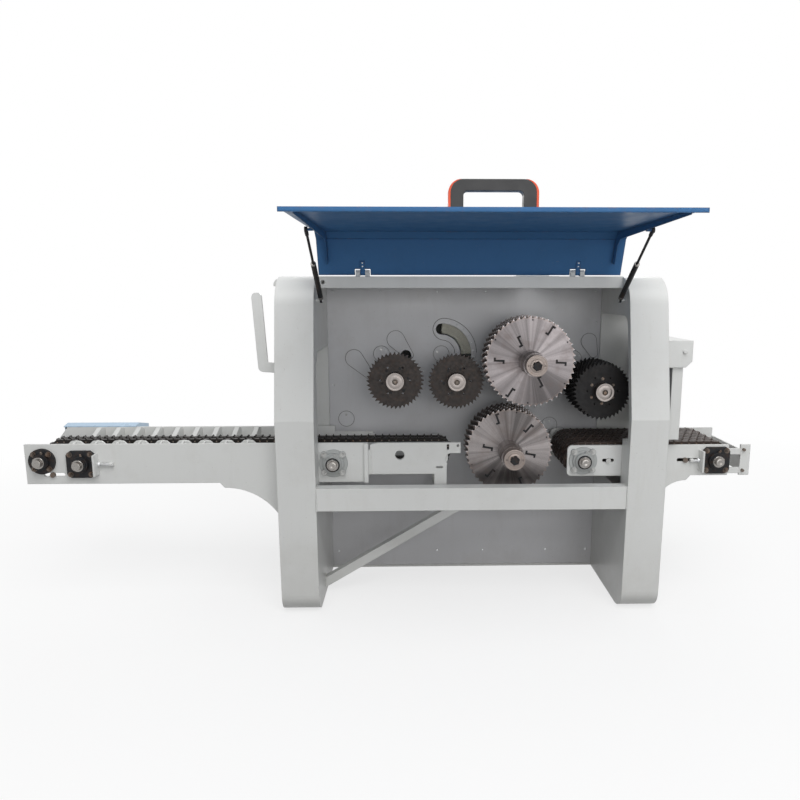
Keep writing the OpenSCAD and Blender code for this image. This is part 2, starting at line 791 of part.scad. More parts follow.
module infeed_chain() {
    color(dark_steel) for (i = [0 : in_strands - 1])
        upright(feed_mid_y + (i - in_strands / 2) * in_strand_step + (in_strand_step - strand_w) / 2, strand_w)
            chain_outline(-in_end, nose_x, in_end_z, in_chain_r, spike_h, 0);
}
module outfeed_chain() {
    color(dark_steel) for (i = [0 : out_strands - 1])
        upright(out_strand_mid + (i - out_strands / 2) * out_strand_step, strand_w)
            chain_outline(out_inner, out_end, out_shaft_z, out_chain_r, spike_h / 2, (i % 2) / 2);
}

// Cover over the infeed drive, standing on the back plate
guard_x0 = -in_tip - 17;
guard_l = 340;
module infeed_guard() {
    rise = 14;
    fall = 12;
    ridge = 40;
    guard_d = 150;
    drop = 130;
    front = [[back_plate_y, in_plate_top], [back_plate_y, in_plate_top + 4],
             [back_plate_y + ridge, in_plate_top + rise], [back_plate_y + guard_d, in_plate_top - fall],
             [back_plate_y + guard_d, in_plate_top - drop]];
    color(hood_blue) {
        across(guard_x0, guard_x0 + guard_l) bent_sheet(front, sheet_t);
        for (x = [guard_x0, guard_x0 + guard_l - sheet_t]) across(x, x + sheet_t) polygon([
            [back_plate_y + plate_t, in_plate_top], front[1] + [plate_t, 0], front[2], front[3], front[4],
            [back_plate_y + plate_t, in_plate_top - drop]]);
    }
}

// Bed block: two cheeks joined by a nose that turns the chain
block_x0 = in_plate_end + 6;
block_top = chain_top + 11;
block_h = 139;
module bed_cheek(d, t, top) {
    nose_h = 47;
    notch_x = block_x1 - 14;
    leg_x0 = block_x1 - 114;
    leg_w = 54;
    step = 26;
    low = block_top - block_h;
    upright(d, t) intersection() {
        bed_outline();
        translate([block_x0 - 1, 0]) square([block_x1 - block_x0 + 2, top]);
    }
    module bed_outline() difference() {
        union() {
            polygon([[block_x0, low], [block_x0, block_top - 8], [block_x0 + 30, block_top],
                     [block_x1, block_top], [block_x1, block_top - nose_h], [notch_x - 26, block_top - nose_h],
                     [leg_x0 + leg_w, low + 36], [leg_x0 + leg_w, low]]);
            translate([leg_x0, rail_z + tube]) square([leg_w, low - rail_z - tube + 1]);
        }
        translate([notch_x - step, block_top - nose_h - step]) circle(step);
        translate([block_x0 + 128, block_top - 55]) circle(d = 40);
        translate([block_x1 - 60, block_top - 32]) square([10, 24]);
        slot_outline(block_x1 - 92, low + 30, 30, 9);
        translate([block_x1 - 12, block_top - 14]) circle(d = 11);
    }
}
module bed_block() {
    cheek_t = 16;
    lug_l = 26;
    lug_d = 30;
    front = plate_y + plate_t + 2;
    rear = back_plate_y - 2 - cheek_t;
    color(paint) {
        bed_cheek(front, cheek_t, block_top + 1);
        bed_cheek(rear, cheek_t, chain_top - 38);
        rod_y(nose_x, in_end_z, front + cheek_t - 1, 2 * in_wheel_r, rear - front - cheek_t + 2);
        for (d = [plate_y + plate_t, back_plate_y - lug_d])
            translate([in_plate_end - lug_l, fy(d), block_top - block_h])
                cube([block_x0 + 4 - in_plate_end + lug_l, lug_d, block_h - 30]);
        translate([block_x1 - 114, fy(front), rail_z + tube]) cube([54, rear + cheek_t - front, 24]);
    }
}

// Flange bearings: a plate and a stepped boss on the outer face of a side plate
module bearing(x, z, front, w, kind) {
    plate = 13;
    seat = 5;
    lobe_d = w * 0.22;
    lobe_in = w * 0.26;
    boss = w * 0.62;
    face = front ? plate_y : back_plate_y + plate_t;
    translate([x, fy(face), z]) rotate([front ? 90 : -90, 0, 0]) difference() {
        union() {
            if (kind == "round") cylinder(d = w, h = plate);
            if (kind == "lobed") {
                cylinder(d = w, h = seat);
                linear_extrude(plate) {
                    circle(d = w * 0.75);
                    for (a = [45 : 90 : 315]) rotate(a) {
                        translate([lobe_in, 2 - lobe_d / 2]) square([w * lobe_share - lobe_in, lobe_d - 4]);
                        translate([w * lobe_share, 0]) circle(d = lobe_d);
                    }
                }
            }
            if (kind == "square") intersection() {
                translate([-w / 2, -w / 2, 0]) cube([w, w, plate]);
                cylinder(d = w * 1.22, h = plate);
            }
            cylinder(d = boss, h = bearing_l - 8);
            cylinder(d = boss - 12, h = bearing_l);
        }
        translate([0, 0, -1]) cylinder(d = feed_shaft_d + 2 * run_gap, h = bearing_l + 2);
    }
}
end_bearing_w = 110;
square_bearing_w = 117;
inner_bearing_w = 122;
lobe_share = 0.46;
module end_bearings() {
    color(black_iron) for (front = [true, false]) bearing(-in_end, in_end_z, front, end_bearing_w, "round");
}
module tension_bearings() {
    color(black_iron) for (front = [true, false]) {
        bearing(-in_mid, in_mid_z, front, square_bearing_w, "square");
        bearing(out_end, out_shaft_z, front, square_bearing_w, "square");
    }
}
module inner_bearings() {
    color(grey_iron) for (front = [true, false]) {
        bearing(-in_inner, in_inner_z, front, inner_bearing_w, "lobed");
        bearing(out_inner, out_shaft_z, front, inner_bearing_w, "lobed");
    }
}

// Angle bracket and jack screw that set each tension bearing
bracket_gap = 6;
module tension_bracket(x, z, side, screw_l) {
    ear = 44;
    wall = 8;
    h = 92;
    head_l = 14;
    head_d = 18;
    screw_out = 10;
    start = square_bearing_w / 2;
    translate([x, fy(plate_y), z]) mirror([side < 0 ? 1 : 0, 0, 0]) {
        translate([start + bracket_gap, -ear, -h / 2]) cube([wall, ear, h]);
        translate([start, -screw_out, 0]) rotate([0, 90, 0]) cylinder(d = 12, h = bracket_gap + wall + screw_l);
        translate([start + bracket_gap + wall + screw_l, -screw_out, 0]) rotate([0, 90, 0])
            cylinder(d = head_d, h = head_l, $fn = 6);
    }
}
module tension_brackets() {
    color(paint) for (s = [[-in_mid, in_mid_z, 1, 50], [out_end, out_shaft_z, -1, 28]])
        tension_bracket(s[0], s[1], s[2], s[3]);
}

// Shaft in its two bearings, with wheels under the chain strands
module feed_shaft(x, z, rear, wheel_d, mids, wheel_w) {
    color(bright_steel) {
        rod_y(x, z, shaft_front, feed_shaft_d, rear - shaft_front);
        for (m = mids) upright(m - wheel_w / 2, wheel_w) translate([x, z]) toothed(wheel_d, 20, 3);
    }
}
shaft_rear = back_plate_y + plate_t + bearing_l + 12;
in_wheels = [for (i = [0 : in_strands - 1]) feed_mid_y + (i - (in_strands - 1) / 2) * in_strand_step];
out_wheels = [for (i = [0 : 2 : out_strands - 1])
    out_strand_mid + (i - out_strands / 2) * out_strand_step + strand_w / 2];
wheel_w = 16;
in_wheel_r = in_chain_r - chain_t - pass_gap;
out_wheel_r = out_chain_r - chain_t - pass_gap;
in_low = in_end_z - in_wheel_r;
module infeed_end_shaft() {
    feed_shaft(-in_end, in_end_z, shaft_rear + 40, 2 * in_wheel_r, in_wheels, wheel_w);
}
module infeed_tension_shaft() {
    feed_shaft(-in_mid, in_mid_z, shaft_rear, 2 * (in_mid_z - in_low), in_wheels, wheel_w);
}
module infeed_inner_shaft() {
    feed_shaft(-in_inner, in_inner_z, panel_y - 3, 2 * (in_inner_z - in_low), in_wheels, wheel_w);
}
module outfeed_inner_shaft() {
    feed_shaft(out_inner, out_shaft_z, panel_y + panel_t + 70, 2 * out_wheel_r, out_wheels, wheel_w);
}
module outfeed_end_shaft() {
    feed_shaft(out_end, out_shaft_z, shaft_rear, 2 * out_wheel_r, out_wheels, wheel_w);
}

// Right-angle gear motors on the infeed end shaft and the outfeed inner shaft
gear_w = 108;
module gearmotor(x, z, d, turn) {
    box_l = 98;
    motor = 82;
    reach = 168;
    mid = box_l - motor / 2 - 2;
    difference() {
        translate([x, fy(d), z]) rotate([0, turn, 0]) {
            translate([-gear_w / 2, 0, -gear_w / 2]) cube([gear_w, box_l, gear_w]);
            translate([gear_w / 2 - 1, mid, 0]) rotate([0, 90, 0]) cylinder(d = motor, h = reach);
            translate([gear_w / 2 + reach - 2, mid, 0]) rotate([0, 90, 0]) cylinder(d = motor - 8, h = 16);
        }
        rod_y(x, z, d - 1, feed_shaft_d + 2 * run_gap, 76);
    }
}
module feed_gearmotors() {
    color("#4d6f8f") {
        gearmotor(-in_end, in_end_z, back_plate_y + plate_t + bearing_l + 2, 0);
        gearmotor(out_inner, out_shaft_z, panel_y + panel_t, 90);
    }
}

// Arbors and their drives

// Blade outline: hooked teeth, a bore, expansion slots and small rim holes
module blade_outline(d) {
    step = 360 / blade_teeth;
    gullet = 11;
    slots = 6;
    slot_share = [0.68, 0.8, 0.5];
    slot_l = 48;
    slot_w = 9;
    hook = 18;
    rim_r = d * 0.455;
    difference() {
        polygon([for (i = [0 : blade_teeth - 1],
                      k = [[0, 0], [0.16, 1.5], [0.42, gullet * 0.55], [0.72, gullet], [0.94, gullet * 0.8]])
            (d / 2 - k[1]) * [cos((i + k[0]) * step), sin((i + k[0]) * step)]]);
        circle(d = arbor_d + 2 * run_gap);
        for (i = [0 : slots - 1]) rotate(i * 360 / slots - 2) {
            translate([d / 2 * slot_share[i % 3], 0]) for (side = [-1, 1]) {
                square([slot_l, slot_w], center = true);
                translate([side * (slot_l - slot_w) / 2, -side * (hook - slot_w) / 2])
                    square([slot_w, hook], center = true);
            }
            rotate(30) translate([rim_r, 0]) circle(d = 7);
        }
    }
}
module blade_stack(x, z, d, turn) {
    first = nut_front + nut_l;
    color(bright_steel) for (i = [0 : blade_count - 1]) {
        front = blade_y + i * blade_step;
        upright(front, blade_t) translate([x, z]) rotate(turn + 17 * i) blade_outline(d);
        ring_front = i == 0 ? first : front - blade_step + blade_t;
        upright(ring_front + seam, front - ring_front - 2 * seam) translate([x, z]) difference() {
            circle(d = spacer_d);
            circle(d = arbor_d + 2 * run_gap);
        }
    }
}
module upper_blades() {
    blade_stack(upper_x, upper_z, upper_blade_d, 0);
}
module lower_blades() {
    blade_stack(lower_x, lower_z, lower_blade_d, -17 * 360 / blade_teeth);
}

// Arbor with its nut, rear flange, shaft and grooved pulley
module arbor(x, z, pulley_y) {
    bolt_d = 40;
    color(bright_steel) difference() {
        union() {
            rod_y(x, z, nut_front, nut_d, nut_l);
            rod_y(x, z, nut_front + nut_l - 1, arbor_d, stack_end + seam - nut_front - nut_l + 2);
            rod_y(x, z, stack_end + seam, arbor_flange_d, arbor_flange_l);
            rod_y(x, z, stack_end + arbor_flange_l - 1, shaft_d, pulley_y - stack_end - arbor_flange_l + 2);
        }
        for (a = [0, 180]) translate([x, 0, z]) rotate([0, a, 0]) translate([-x, 0, -z])
            rod_y(x + nut_d / 2 - 12, z, nut_front - 1, 9, 12);
    }
    color(dark_steel) upright(nut_front - 14, 14.5) translate([x, z]) circle(d = bolt_d, $fn = 6);
    color(dark_steel) pulley(x, z, pulley_y, arbor_pulley_d);
}
module pulley(x, z, d, dia) {
    groove = belt_w + 2 * pass_gap;
    translate([x, fy(d), z]) rotate([-90, 0, 0]) rotate_extrude() polygon(concat(
        [[0, 0], [dia / 2, 0]],
        [for (i = [0 : belt_count - 1], k = [[-1, 0], [-1, 1], [1, 1], [1, 0]])
            [dia / 2 - k[1] * (belt_in + pass_gap), belt_edge + (i + 0.5) * belt_step + k[0] * groove / 2]],
        [[dia / 2, pulley_l], [0, pulley_l]]));
}
module upper_arbor() {
    arbor(upper_x, upper_z, upper_pulley_y);
}
module lower_arbor() {
    arbor(lower_x, lower_z, lower_pulley_y);
}
module housing(x, z) {
    rear = panel_y + panel_t;
    l = upper_pulley_y - pulley_gap - housing_front;
    difference() {
        union() {
            rod_y(x, z, housing_front, housing_d, l);
            rod_y(x, z, rear, housing_flange_d, housing_flange_l);
        }
        rod_y(x, z, housing_front - 1, shaft_d + 2 * run_gap, l + 2);
    }
}
module spindle_housings() {
    color(grey_iron) {
        housing(upper_x, upper_z);
        housing(lower_x, lower_z);
    }
}

// Finned motor on feet, with its terminal box on top
module motor(x, pulley_y) {
    fins = 36;
    rear = pulley_y - motor_gap;
    front = rear - motor_l;
    step = 360 / fins;
    foot = 60;
    difference() {
        union() {
            upright(front + 40, motor_l - 70) translate([x, motor_z])
                polygon([for (i = [0 : fins - 1], k = [[0, 0], [0.35, 0], [0.35, 1], [1, 1]])
                    (motor_d / 2 - 20 * k[1]) * [cos((i + k[0]) * step), sin((i + k[0]) * step)]]);
            rod_y(x, motor_z, front, motor_d - 6, 41);
            rod_y(x, motor_z, rear - 31, motor_d - 10, 31);
            for (d = [front + 60, rear - 60 - foot]) translate([x - 150, fy(d), tray_t]) cube([300, foot, 90]);
            translate([x - 60, fy(front + 110), motor_z + motor_d / 2 - 30]) cube([120, 130, 80]);
        }
        rod_y(x, motor_z, rear - 70, motor_shaft_d + 2 * run_gap, 80);
    }
}
module drive_motors() {
    color("#4d6f8f") {
        motor(upper_motor_x, upper_pulley_y);
        motor(lower_motor_x, lower_pulley_y);
    }
}
module motor_pulley(x, pulley_y) {
    color(dark_steel) {
        pulley(x, motor_z, pulley_y, motor_pulley_d);
        rod_y(x, motor_z, pulley_y - motor_gap - 60, motor_shaft_d, motor_gap + 61);
    }
}
module upper_motor_pulley() {
    motor_pulley(upper_motor_x, upper_pulley_y);
}
module lower_motor_pulley() {
    motor_pulley(lower_motor_x, lower_pulley_y);
}
module belts(a, b, d) {
    ra = arbor_pulley_d / 2;
    rb = motor_pulley_d / 2;
    for (i = [0 : belt_count - 1]) upright(d + belt_edge + (i + 0.5) * belt_step - belt_w / 2, belt_w)
        difference() {
            stepped_outline(a, ra + belt_out, b, rb + belt_out);
            stepped_outline(a, ra - belt_in, b, rb - belt_in);
        }
}
module drive_belts() {
    color(black_iron) {
        belts([upper_x, upper_z], [upper_motor_x, motor_z], upper_pulley_y);
        belts([lower_x, lower_z], [lower_motor_x, motor_z], lower_pulley_y);
    }
}

// Hood

// Places parts that are drawn in depth and height from the hood's hinge axis
module hood_across(x0, x1) {
    translate([x0, fy(hinge_d), hinge_z]) rotate([90, 0, 90]) linear_extrude(x1 - x0) children();
}
module hood_panel() {
    start = -10;
    notch_r = 17;
    notch_gap = 3;
    bevel = 30;
    flange_start = 46;
    flange_x = hood_w / 2 - 42;
    path = [
        along(hood_lean, start), along(hood_lean, hood_short - bevel),
        hood_fold + along(hood_rise, bevel), hood_tip, hood_tip + inward(hood_rise, lip_h)
    ];
    flange = [
        along(hood_lean, flange_start), along(hood_lean, hood_short - bevel),
        hood_fold + along(hood_rise, bevel), hood_fold + along(hood_rise, hood_long - 30),
        hood_fold + along(hood_rise, hood_long - 30) + inward(hood_rise, flange_h / 2),
        hood_fold + along(hood_rise, bevel + 20) + inward(hood_rise, flange_h),
        along(hood_lean, hood_short - bevel - 20) + inward(hood_lean, flange_h),
        along(hood_lean, flange_start) + inward(hood_lean, flange_h)
    ];
    color(hood_blue) {
        difference() {
            hood_across(-hood_w / 2, hood_w / 2)
                bent_sheet([for (i = [len(path) - 1 : -1 : 0]) path[i]], hood_t);
            for (x = hinge_xs) hood_across(x - hinge_l / 2 - notch_gap, x + hinge_l / 2 + notch_gap)
                circle(notch_r);
        }
        for (side = [-1, 1]) {
            hood_across(side * flange_x - hood_t / 2, side * flange_x + hood_t / 2) polygon(flange);
            x0 = side * (flange_x + hood_t / 2 - 0.5);
            x1 = side * (strut_x - strut_eye_w / 2 - pass_gap);
            rod_x(min(x0, x1), max(x0, x1), hinge_d + strut_top[0], hinge_z + strut_top[1], strut_pin_d);
        }
    }
}

// Places parts on the outer face of the long side, with the handle's feet at its zero height
module on_hood() {
    handle_back = 52;
    p = hood_fold + along(hood_rise, hood_long - handle_back);
    translate([0, fy(hinge_d) + p[0], hinge_z + p[1]]) rotate([-hood_rise, 0, 0])
        translate([0, handle_t / 2, 0]) rotate([90, 0, 0]) linear_extrude(handle_t) children();
}
handle_r = 40;
trim_t = 7;
module handle_outline(w) {
    translate([-w / 2, 0]) square([w, handle_h - handle_r]);
    translate([-w / 2 + handle_r, 0]) square([w - 2 * handle_r, handle_h]);
    for (x = [-w / 2 + handle_r, w / 2 - handle_r]) translate([x, handle_h - handle_r]) circle(handle_r);
}
module hood_handle() {
    leg = 46;
    hole_r = 14;
    hole_w = handle_w - 2 * leg;
    color(black_iron) on_hood() difference() {
        handle_outline(handle_w - 2 * trim_t);
        translate([-hole_w / 2, -1]) square([hole_w, handle_h - handle_t - hole_r + 1]);
        translate([-hole_w / 2 + hole_r, -1]) square([hole_w - 2 * hole_r, handle_h - handle_t + 1]);
        for (x = [-hole_w / 2 + hole_r, hole_w / 2 - hole_r])
            translate([x, handle_h - handle_t - hole_r]) circle(hole_r);
    }
}
module handle_trim() {
    color("#e2542f") on_hood() for (side = [0, 1]) mirror([side, 0]) intersection() {
        difference() {
            handle_outline(handle_w);
            handle_outline(handle_w - 2 * trim_t);
        }
        translate([handle_w / 2 - handle_r, 0]) square([handle_r, handle_h]);
    }
}

// Moving hinge leaf: a knuckle on the pin and a strap under the hood's short face
module hood_hinges() {
    strap_0 = 4;
    strap_l = 52;
    strap_t = 4;
    color(bright_steel) for (x = hinge_xs) {
        x0 = x - hinge_l / 6;
        x1 = x + hinge_l / 6;
        difference() {
            union() {
                rod_x(x0, x1, hinge_d, hinge_z, 2 * knuckle_r);
                hood_across(x0, x1) polygon([
                    for (k = [[strap_0, 0], [strap_0, strap_t], [strap_l, strap_t], [strap_l, 0]])
                        along(hood_lean, k[0]) + inward(hood_lean, hood_t + k[1])]);
            }
            rod_x(x0 - 1, x1 + 1, hinge_d, hinge_z, hinge_pin_d + 2 * run_gap);
        }
    }
}

// Gas struts, drawn along their open direction from the pivot on the pillar
module strut_frame(side) {
    translate([side * strut_x, fy(hinge_d + strut_low[0]), hinge_z + strut_low[1]])
        rotate([90 - strut_angle, 0, 0]) children();
}
module strut_eye(bore) {
    translate([-strut_eye_w / 2, 0, 0]) rotate([0, 90, 0]) difference() {
        cylinder(d = strut_d, h = strut_eye_w);
        translate([0, 0, -1]) cylinder(d = bore, h = strut_eye_w + 2);
    }
}
module strut_cylinder(side) {
    bore_l = strut_overlap + strut_stroke + 6;
    neck = 14;
    color(black_iron) strut_frame(side) {
        strut_eye(strut_pin_d + 2 * run_gap);
        translate([-3, -4, strut_pin_d / 2 + 2]) cube([6, 8, neck]);
        difference() {
            translate([0, 0, neck]) cylinder(d = strut_d, h = strut_l - neck);
            translate([0, 0, strut_l - bore_l]) cylinder(d = strut_rod_d + 2 * run_gap, h = bore_l + 1);
        }
    }
}
module left_strut_cylinder() {
    strut_cylinder(-1);
}
module right_strut_cylinder() {
    strut_cylinder(1);
}
module strut_rod(side) {
    color(dark_steel) strut_frame(side) {
        translate([0, 0, strut_l - strut_overlap])
            cylinder(d = strut_rod_d, h = strut_open - strut_l + strut_overlap - strut_pin_d / 2 - 3);
        translate([0, 0, strut_open]) strut_eye(strut_pin_d);
    }
}
module left_strut_rod() {
    strut_rod(-1);
}
module right_strut_rod() {
    strut_rod(1);
}

// Press rollers

arm_zs = [arm_z, arm_z, arm_z - 25];
arm_end_r = roller_shaft_d / 2 + 8;
function arm_end(i) = [arm_x[i] + arm_l * cos(arm_angle[i]), arm_zs[i] + arm_l * sin(arm_angle[i])];
module press_arm(i) {
    color(grey_iron) upright(arm_y, arm_t) difference() {
        belt_outline([arm_x[i], arm_zs[i]], arm_w / 2, arm_end(i), arm_end_r);
        translate([arm_x[i], arm_zs[i]]) circle(d = pivot_d + 2 * run_gap);
        translate(arm_end(i)) circle(d = roller_shaft_d + 2 * run_gap);
    }
}
module first_arm() {
    press_arm(0);
}
module second_arm() {
    press_arm(1);
}
module third_arm() {
    press_arm(2);
}
hub_d = 80;
hub_l = 44;
module roller_disc(i, d, turn) {
    holes = 6;
    upright(d, roller_t) translate(arm_end(i)) rotate(turn) difference() {
        toothed(roller_d, roller_teeth, 13);
        circle(d = roller_shaft_d - 2);
        for (k = [0 : holes - 1]) rotate(k * 360 / holes) translate([66, 0]) circle(d = 9);
    }
}
module roller_shaft(i, front) {
    c = arm_end(i);
    collar = 12;
    rear = arm_y + arm_t + pass_gap;
    color(bright_steel) difference() {
        union() {
            rod_y(c[0], c[1], front - hub_l, hub_d, hub_l);
            rod_y(c[0], c[1], front - 1, roller_shaft_d, rear + collar - front + 1);
            rod_y(c[0], c[1], rear, roller_shaft_d + 14, collar);
        }
        rod_y(c[0], c[1], front - hub_l - 1, 24, 9);
    }
}
module single_roller(i) {
    roller_shaft(i, roller_y[i]);
    color(dark_steel) roller_disc(i, roller_y[i], 0);
}
module first_roller() {
    single_roller(0);
}
module second_roller() {
    single_roller(1);
}
module third_roller() {
    core_d = roller_d - 60;
    c = arm_end(2);
    roller_shaft(2, roller_y[2]);
    color(dark_steel) {
        for (i = [0 : third_discs - 1]) roller_disc(2, roller_y[2] + i * third_step, i * 3);
        rod_y(c[0], c[1], roller_y[2] + roller_t - 1, core_d, (third_discs - 1) * third_step - roller_t + 2);
    }
}

// Outfeed mouth

mouth_x = 104;
mouth_top = 1172;
mouth_low = 1063;
pin_x = outer_x + 70;
pin_z = 1130;
pin_d = 16;
mouth_wall = 6;
mouth_front = (mouth_top - bend_z) * tan(upper_lean) + 2;
mouth_back = window_back + 1;
module outfeed_hood() {
    cut = 26;
    pin_over = 9;
    x1 = outer_x + mouth_x;
    depth = mouth_back + mouth_wall - mouth_front;
    color(paint) {
        for (d = [mouth_front, mouth_back]) upright(d, mouth_wall)
            polygon([[outer_x, mouth_low], [x1 - cut, mouth_low], [x1, mouth_low + cut],
                     [x1, mouth_top], [outer_x, mouth_top]]);
        translate([outer_x, fy(mouth_front), mouth_top]) cube([mouth_x, depth, sheet_t]);
        rod_y(pin_x, pin_z, mouth_front - pin_over, pin_d, depth + 2 * pin_over);
    }
}
module outfeed_flap() {
    side_gap = 6;
    front = mouth_front + mouth_wall + side_gap;
    depth = mouth_back - side_gap - front;
    knuckle = pin_d + 12;
    low = out_plate_top + 30;
    lip = 42;
    plate = 4;
    color(paint) difference() {
        union() {
            rod_y(pin_x, pin_z, front, knuckle, depth);
            translate([pin_x - plate / 2, fy(front), low]) cube([plate, depth, pin_z - low]);
            for (d = [front, front + depth - sheet_t])
                translate([pin_x - lip, fy(d), low]) cube([lip, sheet_t, mouth_low - low]);
        }
        rod_y(pin_x, pin_z, front - 1, pin_d + 2 * run_gap, depth + 2);
    }
}

// Small fittings on the body

module support_arm() {
    r = 21;
    foot = [-outer_x - 4, 1060];
    elbow = [-outer_x - 62, 1064];
    tip = [-outer_x - 78, 1352];
    color(paint) upright(120, 10) intersection() {
        union() {
            belt_outline(foot, r, elbow, r);
            belt_outline(elbow, r, tip, r);
        }
        translate([-outer_x - 200, 900]) square([200, 600]);
    }
}
module lifting_hooks() {
    r1 = 28;
    r0 = 16;
    drop = 36;
    color(paint) for (side = [0, 1]) mirror([side, 0, 0]) upright(hinge_d, 14)
        translate([outer_x, body_h - drop]) {
            intersection() {
                difference() {
                    circle(r1);
                    circle(r0);
                }
                polygon([[0, 0], [0, 60], [60, 60], [60, -12]]);
            }
        }
}
spigot_x = 300;
spigot_y = 400;
spigot_l = 90;
module dust_outlet() {
    wall = 2;
    plate = dust_d + 50;
    color(paint) translate([spigot_x, fy(spigot_y), body_h]) difference() {
        union() {
            translate([-plate / 2, -plate / 2, 0]) cube([plate, plate, sheet_t]);
            cylinder(d = dust_d, h = sheet_t + spigot_l);
        }
        translate([0, 0, -1]) cylinder(d = dust_d - 2 * wall, h = sheet_t + spigot_l + 2);
    }
}

// Bolt heads on the bearings, slots, end cap and covers
bearing_plate = 13;
round_spots = [
    [-in_end, in_end_z, end_bearing_w * 0.405], [-in_inner, in_inner_z, inner_bearing_w * lobe_share],
    [out_inner, out_shaft_z, inner_bearing_w * lobe_share]
];
square_spots = [[-in_mid, in_mid_z], [out_end, out_shaft_z]];
module bolt_heads(d) {
    for (s = round_spots, a = [45 : 90 : 315])
        translate([s[0], s[1]] + s[2] * [cos(a), sin(a)]) circle(d = d, $fn = 6);
    for (s = square_spots, i = [-1, 1], k = [-1, 1])
        translate(s + 0.37 * square_bearing_w * [i, k]) circle(d = d, $fn = 6);
}
module machine_bolts() {
    head = 9;
    color(bright_steel) {
        upright(plate_y - bearing_plate - head, head) bolt_heads(17);
        upright(back_plate_y + plate_t + bearing_plate, head) bolt_heads(17);
        upright(plate_y - head, head) {
            for (p = [[in_slot_x - 4, in_slot_z], [out_slot_xs[0], out_shaft_z],
                      [out_slot_xs[1] - 12, out_shaft_z]])
                translate(p) circle(d = 22);
            for (z = [out_plate_top - 22, out_plate_top - out_plate_h + 22])
                translate([out_tip - cap_w + 12, z]) circle(d = 13);
        }
        upright(panel_y - cover_t - 4, 4)
            for (p = [[arm_x[0], arm_z + 22], [arm_x[1] - 20, arm_z + 10],
                      plug_spots[0] + [0, 20], plug_spots[1] + [0, 20]])
                translate(p) circle(d = 10);
    }
}

// Rear door with its hinges on the right pillar

door_gap = 4;
door_t = 22;
door_rear = body_d - door_gap;
door_axis_x = inner_x - 4;
door_axis_y = body_d + 9;
door_pin_d = 10;
door_knuckle_d = 18;
door_hinge_zs = [330, 1130];
door_hinge_l = 72;
module door_pivot(z, l, d) {
    translate([door_axis_x, fy(door_axis_y), z]) cylinder(d = d, h = l);
}
module door_ears() {
    ear = door_hinge_l / 3;
    for (z = door_hinge_zs) {
        for (z0 = [z, z + 2 * ear + pass_gap]) {
            door_pivot(z0, ear - pass_gap, door_knuckle_d);
            translate([door_axis_x, fy(body_d), z0]) cube([30, 6, ear - pass_gap]);
        }
        door_pivot(z, door_hinge_l, door_pin_d);
    }
}
module rear_door() {
    rim = 10;
    low = 50;
    high = body_h - 14;
    w = 2 * inner_x - 2 * door_gap;
    vents = 9;
    ear = door_hinge_l / 3;
    color(paint) difference() {
        union() {
            upright(door_rear - sheet_t, sheet_t) difference() {
                translate([-w / 2, low]) square([w, high - low]);
                for (x = [-330, 330], i = [0 : vents - 1]) slot_outline(x, 250 + i * 30, 320, 12);
            }
            upright(door_rear - door_t, door_t) difference() {
                translate([-w / 2, low]) square([w, high - low]);
                translate([-w / 2 + rim, low + rim]) square([w - 2 * rim, high - low - 2 * rim]);
            }
            for (z = door_hinge_zs) {
                door_pivot(z + ear, ear, door_knuckle_d);
                translate([door_axis_x - 40, fy(door_rear), z + ear]) cube([40, 10, ear]);
            }
            upright(door_rear, 26) translate([-w / 2 + 50, 700]) square([22, 160]);
        }
        for (z = door_hinge_zs) door_pivot(z + ear - 1, ear + 2, door_pin_d + 2 * run_gap);
    }
}

left_pillar();
right_pillar();
front_beam();
top_beam();
chamber_panel();
panel_covers();
brush_seal();
brace_frame();
base_tray();
infeed_front_plate();
infeed_back_plate();
conveyor_ties();
log_cradles();
infeed_chain();
infeed_guard();
bed_block();
end_bearings();
tension_bearings();
inner_bearings();
tension_brackets();
outfeed_front_plate();
outfeed_back_plate();
outfeed_end_cap();
outfeed_chain();
outfeed_hood();
support_arm();
lifting_hooks();
spindle_housings();
drive_motors();
drive_belts();
feed_gearmotors();
dust_outlet();
machine_bolts();
hood_panel();
hood_handle();
handle_trim();
hood_hinges();
left_strut_cylinder();
right_strut_cylinder();
left_strut_rod();
right_strut_rod();
upper_arbor();
upper_blades();
lower_arbor();
lower_blades();
upper_motor_pulley();
lower_motor_pulley();
infeed_end_shaft();
infeed_tension_shaft();
infeed_inner_shaft();
outfeed_inner_shaft();
outfeed_end_shaft();
first_arm();
second_arm();
third_arm();
first_roller();
second_roller();
third_roller();
outfeed_flap();
rear_door();
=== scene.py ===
import json
import math
import random

import bpy
import bmesh
from mathutils import Matrix, Vector


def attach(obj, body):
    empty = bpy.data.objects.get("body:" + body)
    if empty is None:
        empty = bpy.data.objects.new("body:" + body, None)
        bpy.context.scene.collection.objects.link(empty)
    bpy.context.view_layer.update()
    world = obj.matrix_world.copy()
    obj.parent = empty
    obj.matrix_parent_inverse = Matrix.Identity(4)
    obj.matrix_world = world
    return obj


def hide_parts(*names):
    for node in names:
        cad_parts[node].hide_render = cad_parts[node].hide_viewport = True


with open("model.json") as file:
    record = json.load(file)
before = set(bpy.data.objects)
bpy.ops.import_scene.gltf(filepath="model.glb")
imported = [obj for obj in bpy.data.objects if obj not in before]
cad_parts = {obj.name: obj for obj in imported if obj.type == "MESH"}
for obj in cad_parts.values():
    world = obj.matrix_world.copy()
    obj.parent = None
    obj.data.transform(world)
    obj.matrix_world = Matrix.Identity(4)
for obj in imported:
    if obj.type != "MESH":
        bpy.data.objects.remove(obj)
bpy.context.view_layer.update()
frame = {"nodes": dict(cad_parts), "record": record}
NODES = frame["nodes"]
SCENE = bpy.context.scene
AXES = {j["child"]: j["pos_m"] for j in frame["record"]["behaviour"]["joints"] if "pos_m" in j}

# Metres from the front bend back to the middle of the body
FRONT_BEND = 0.575
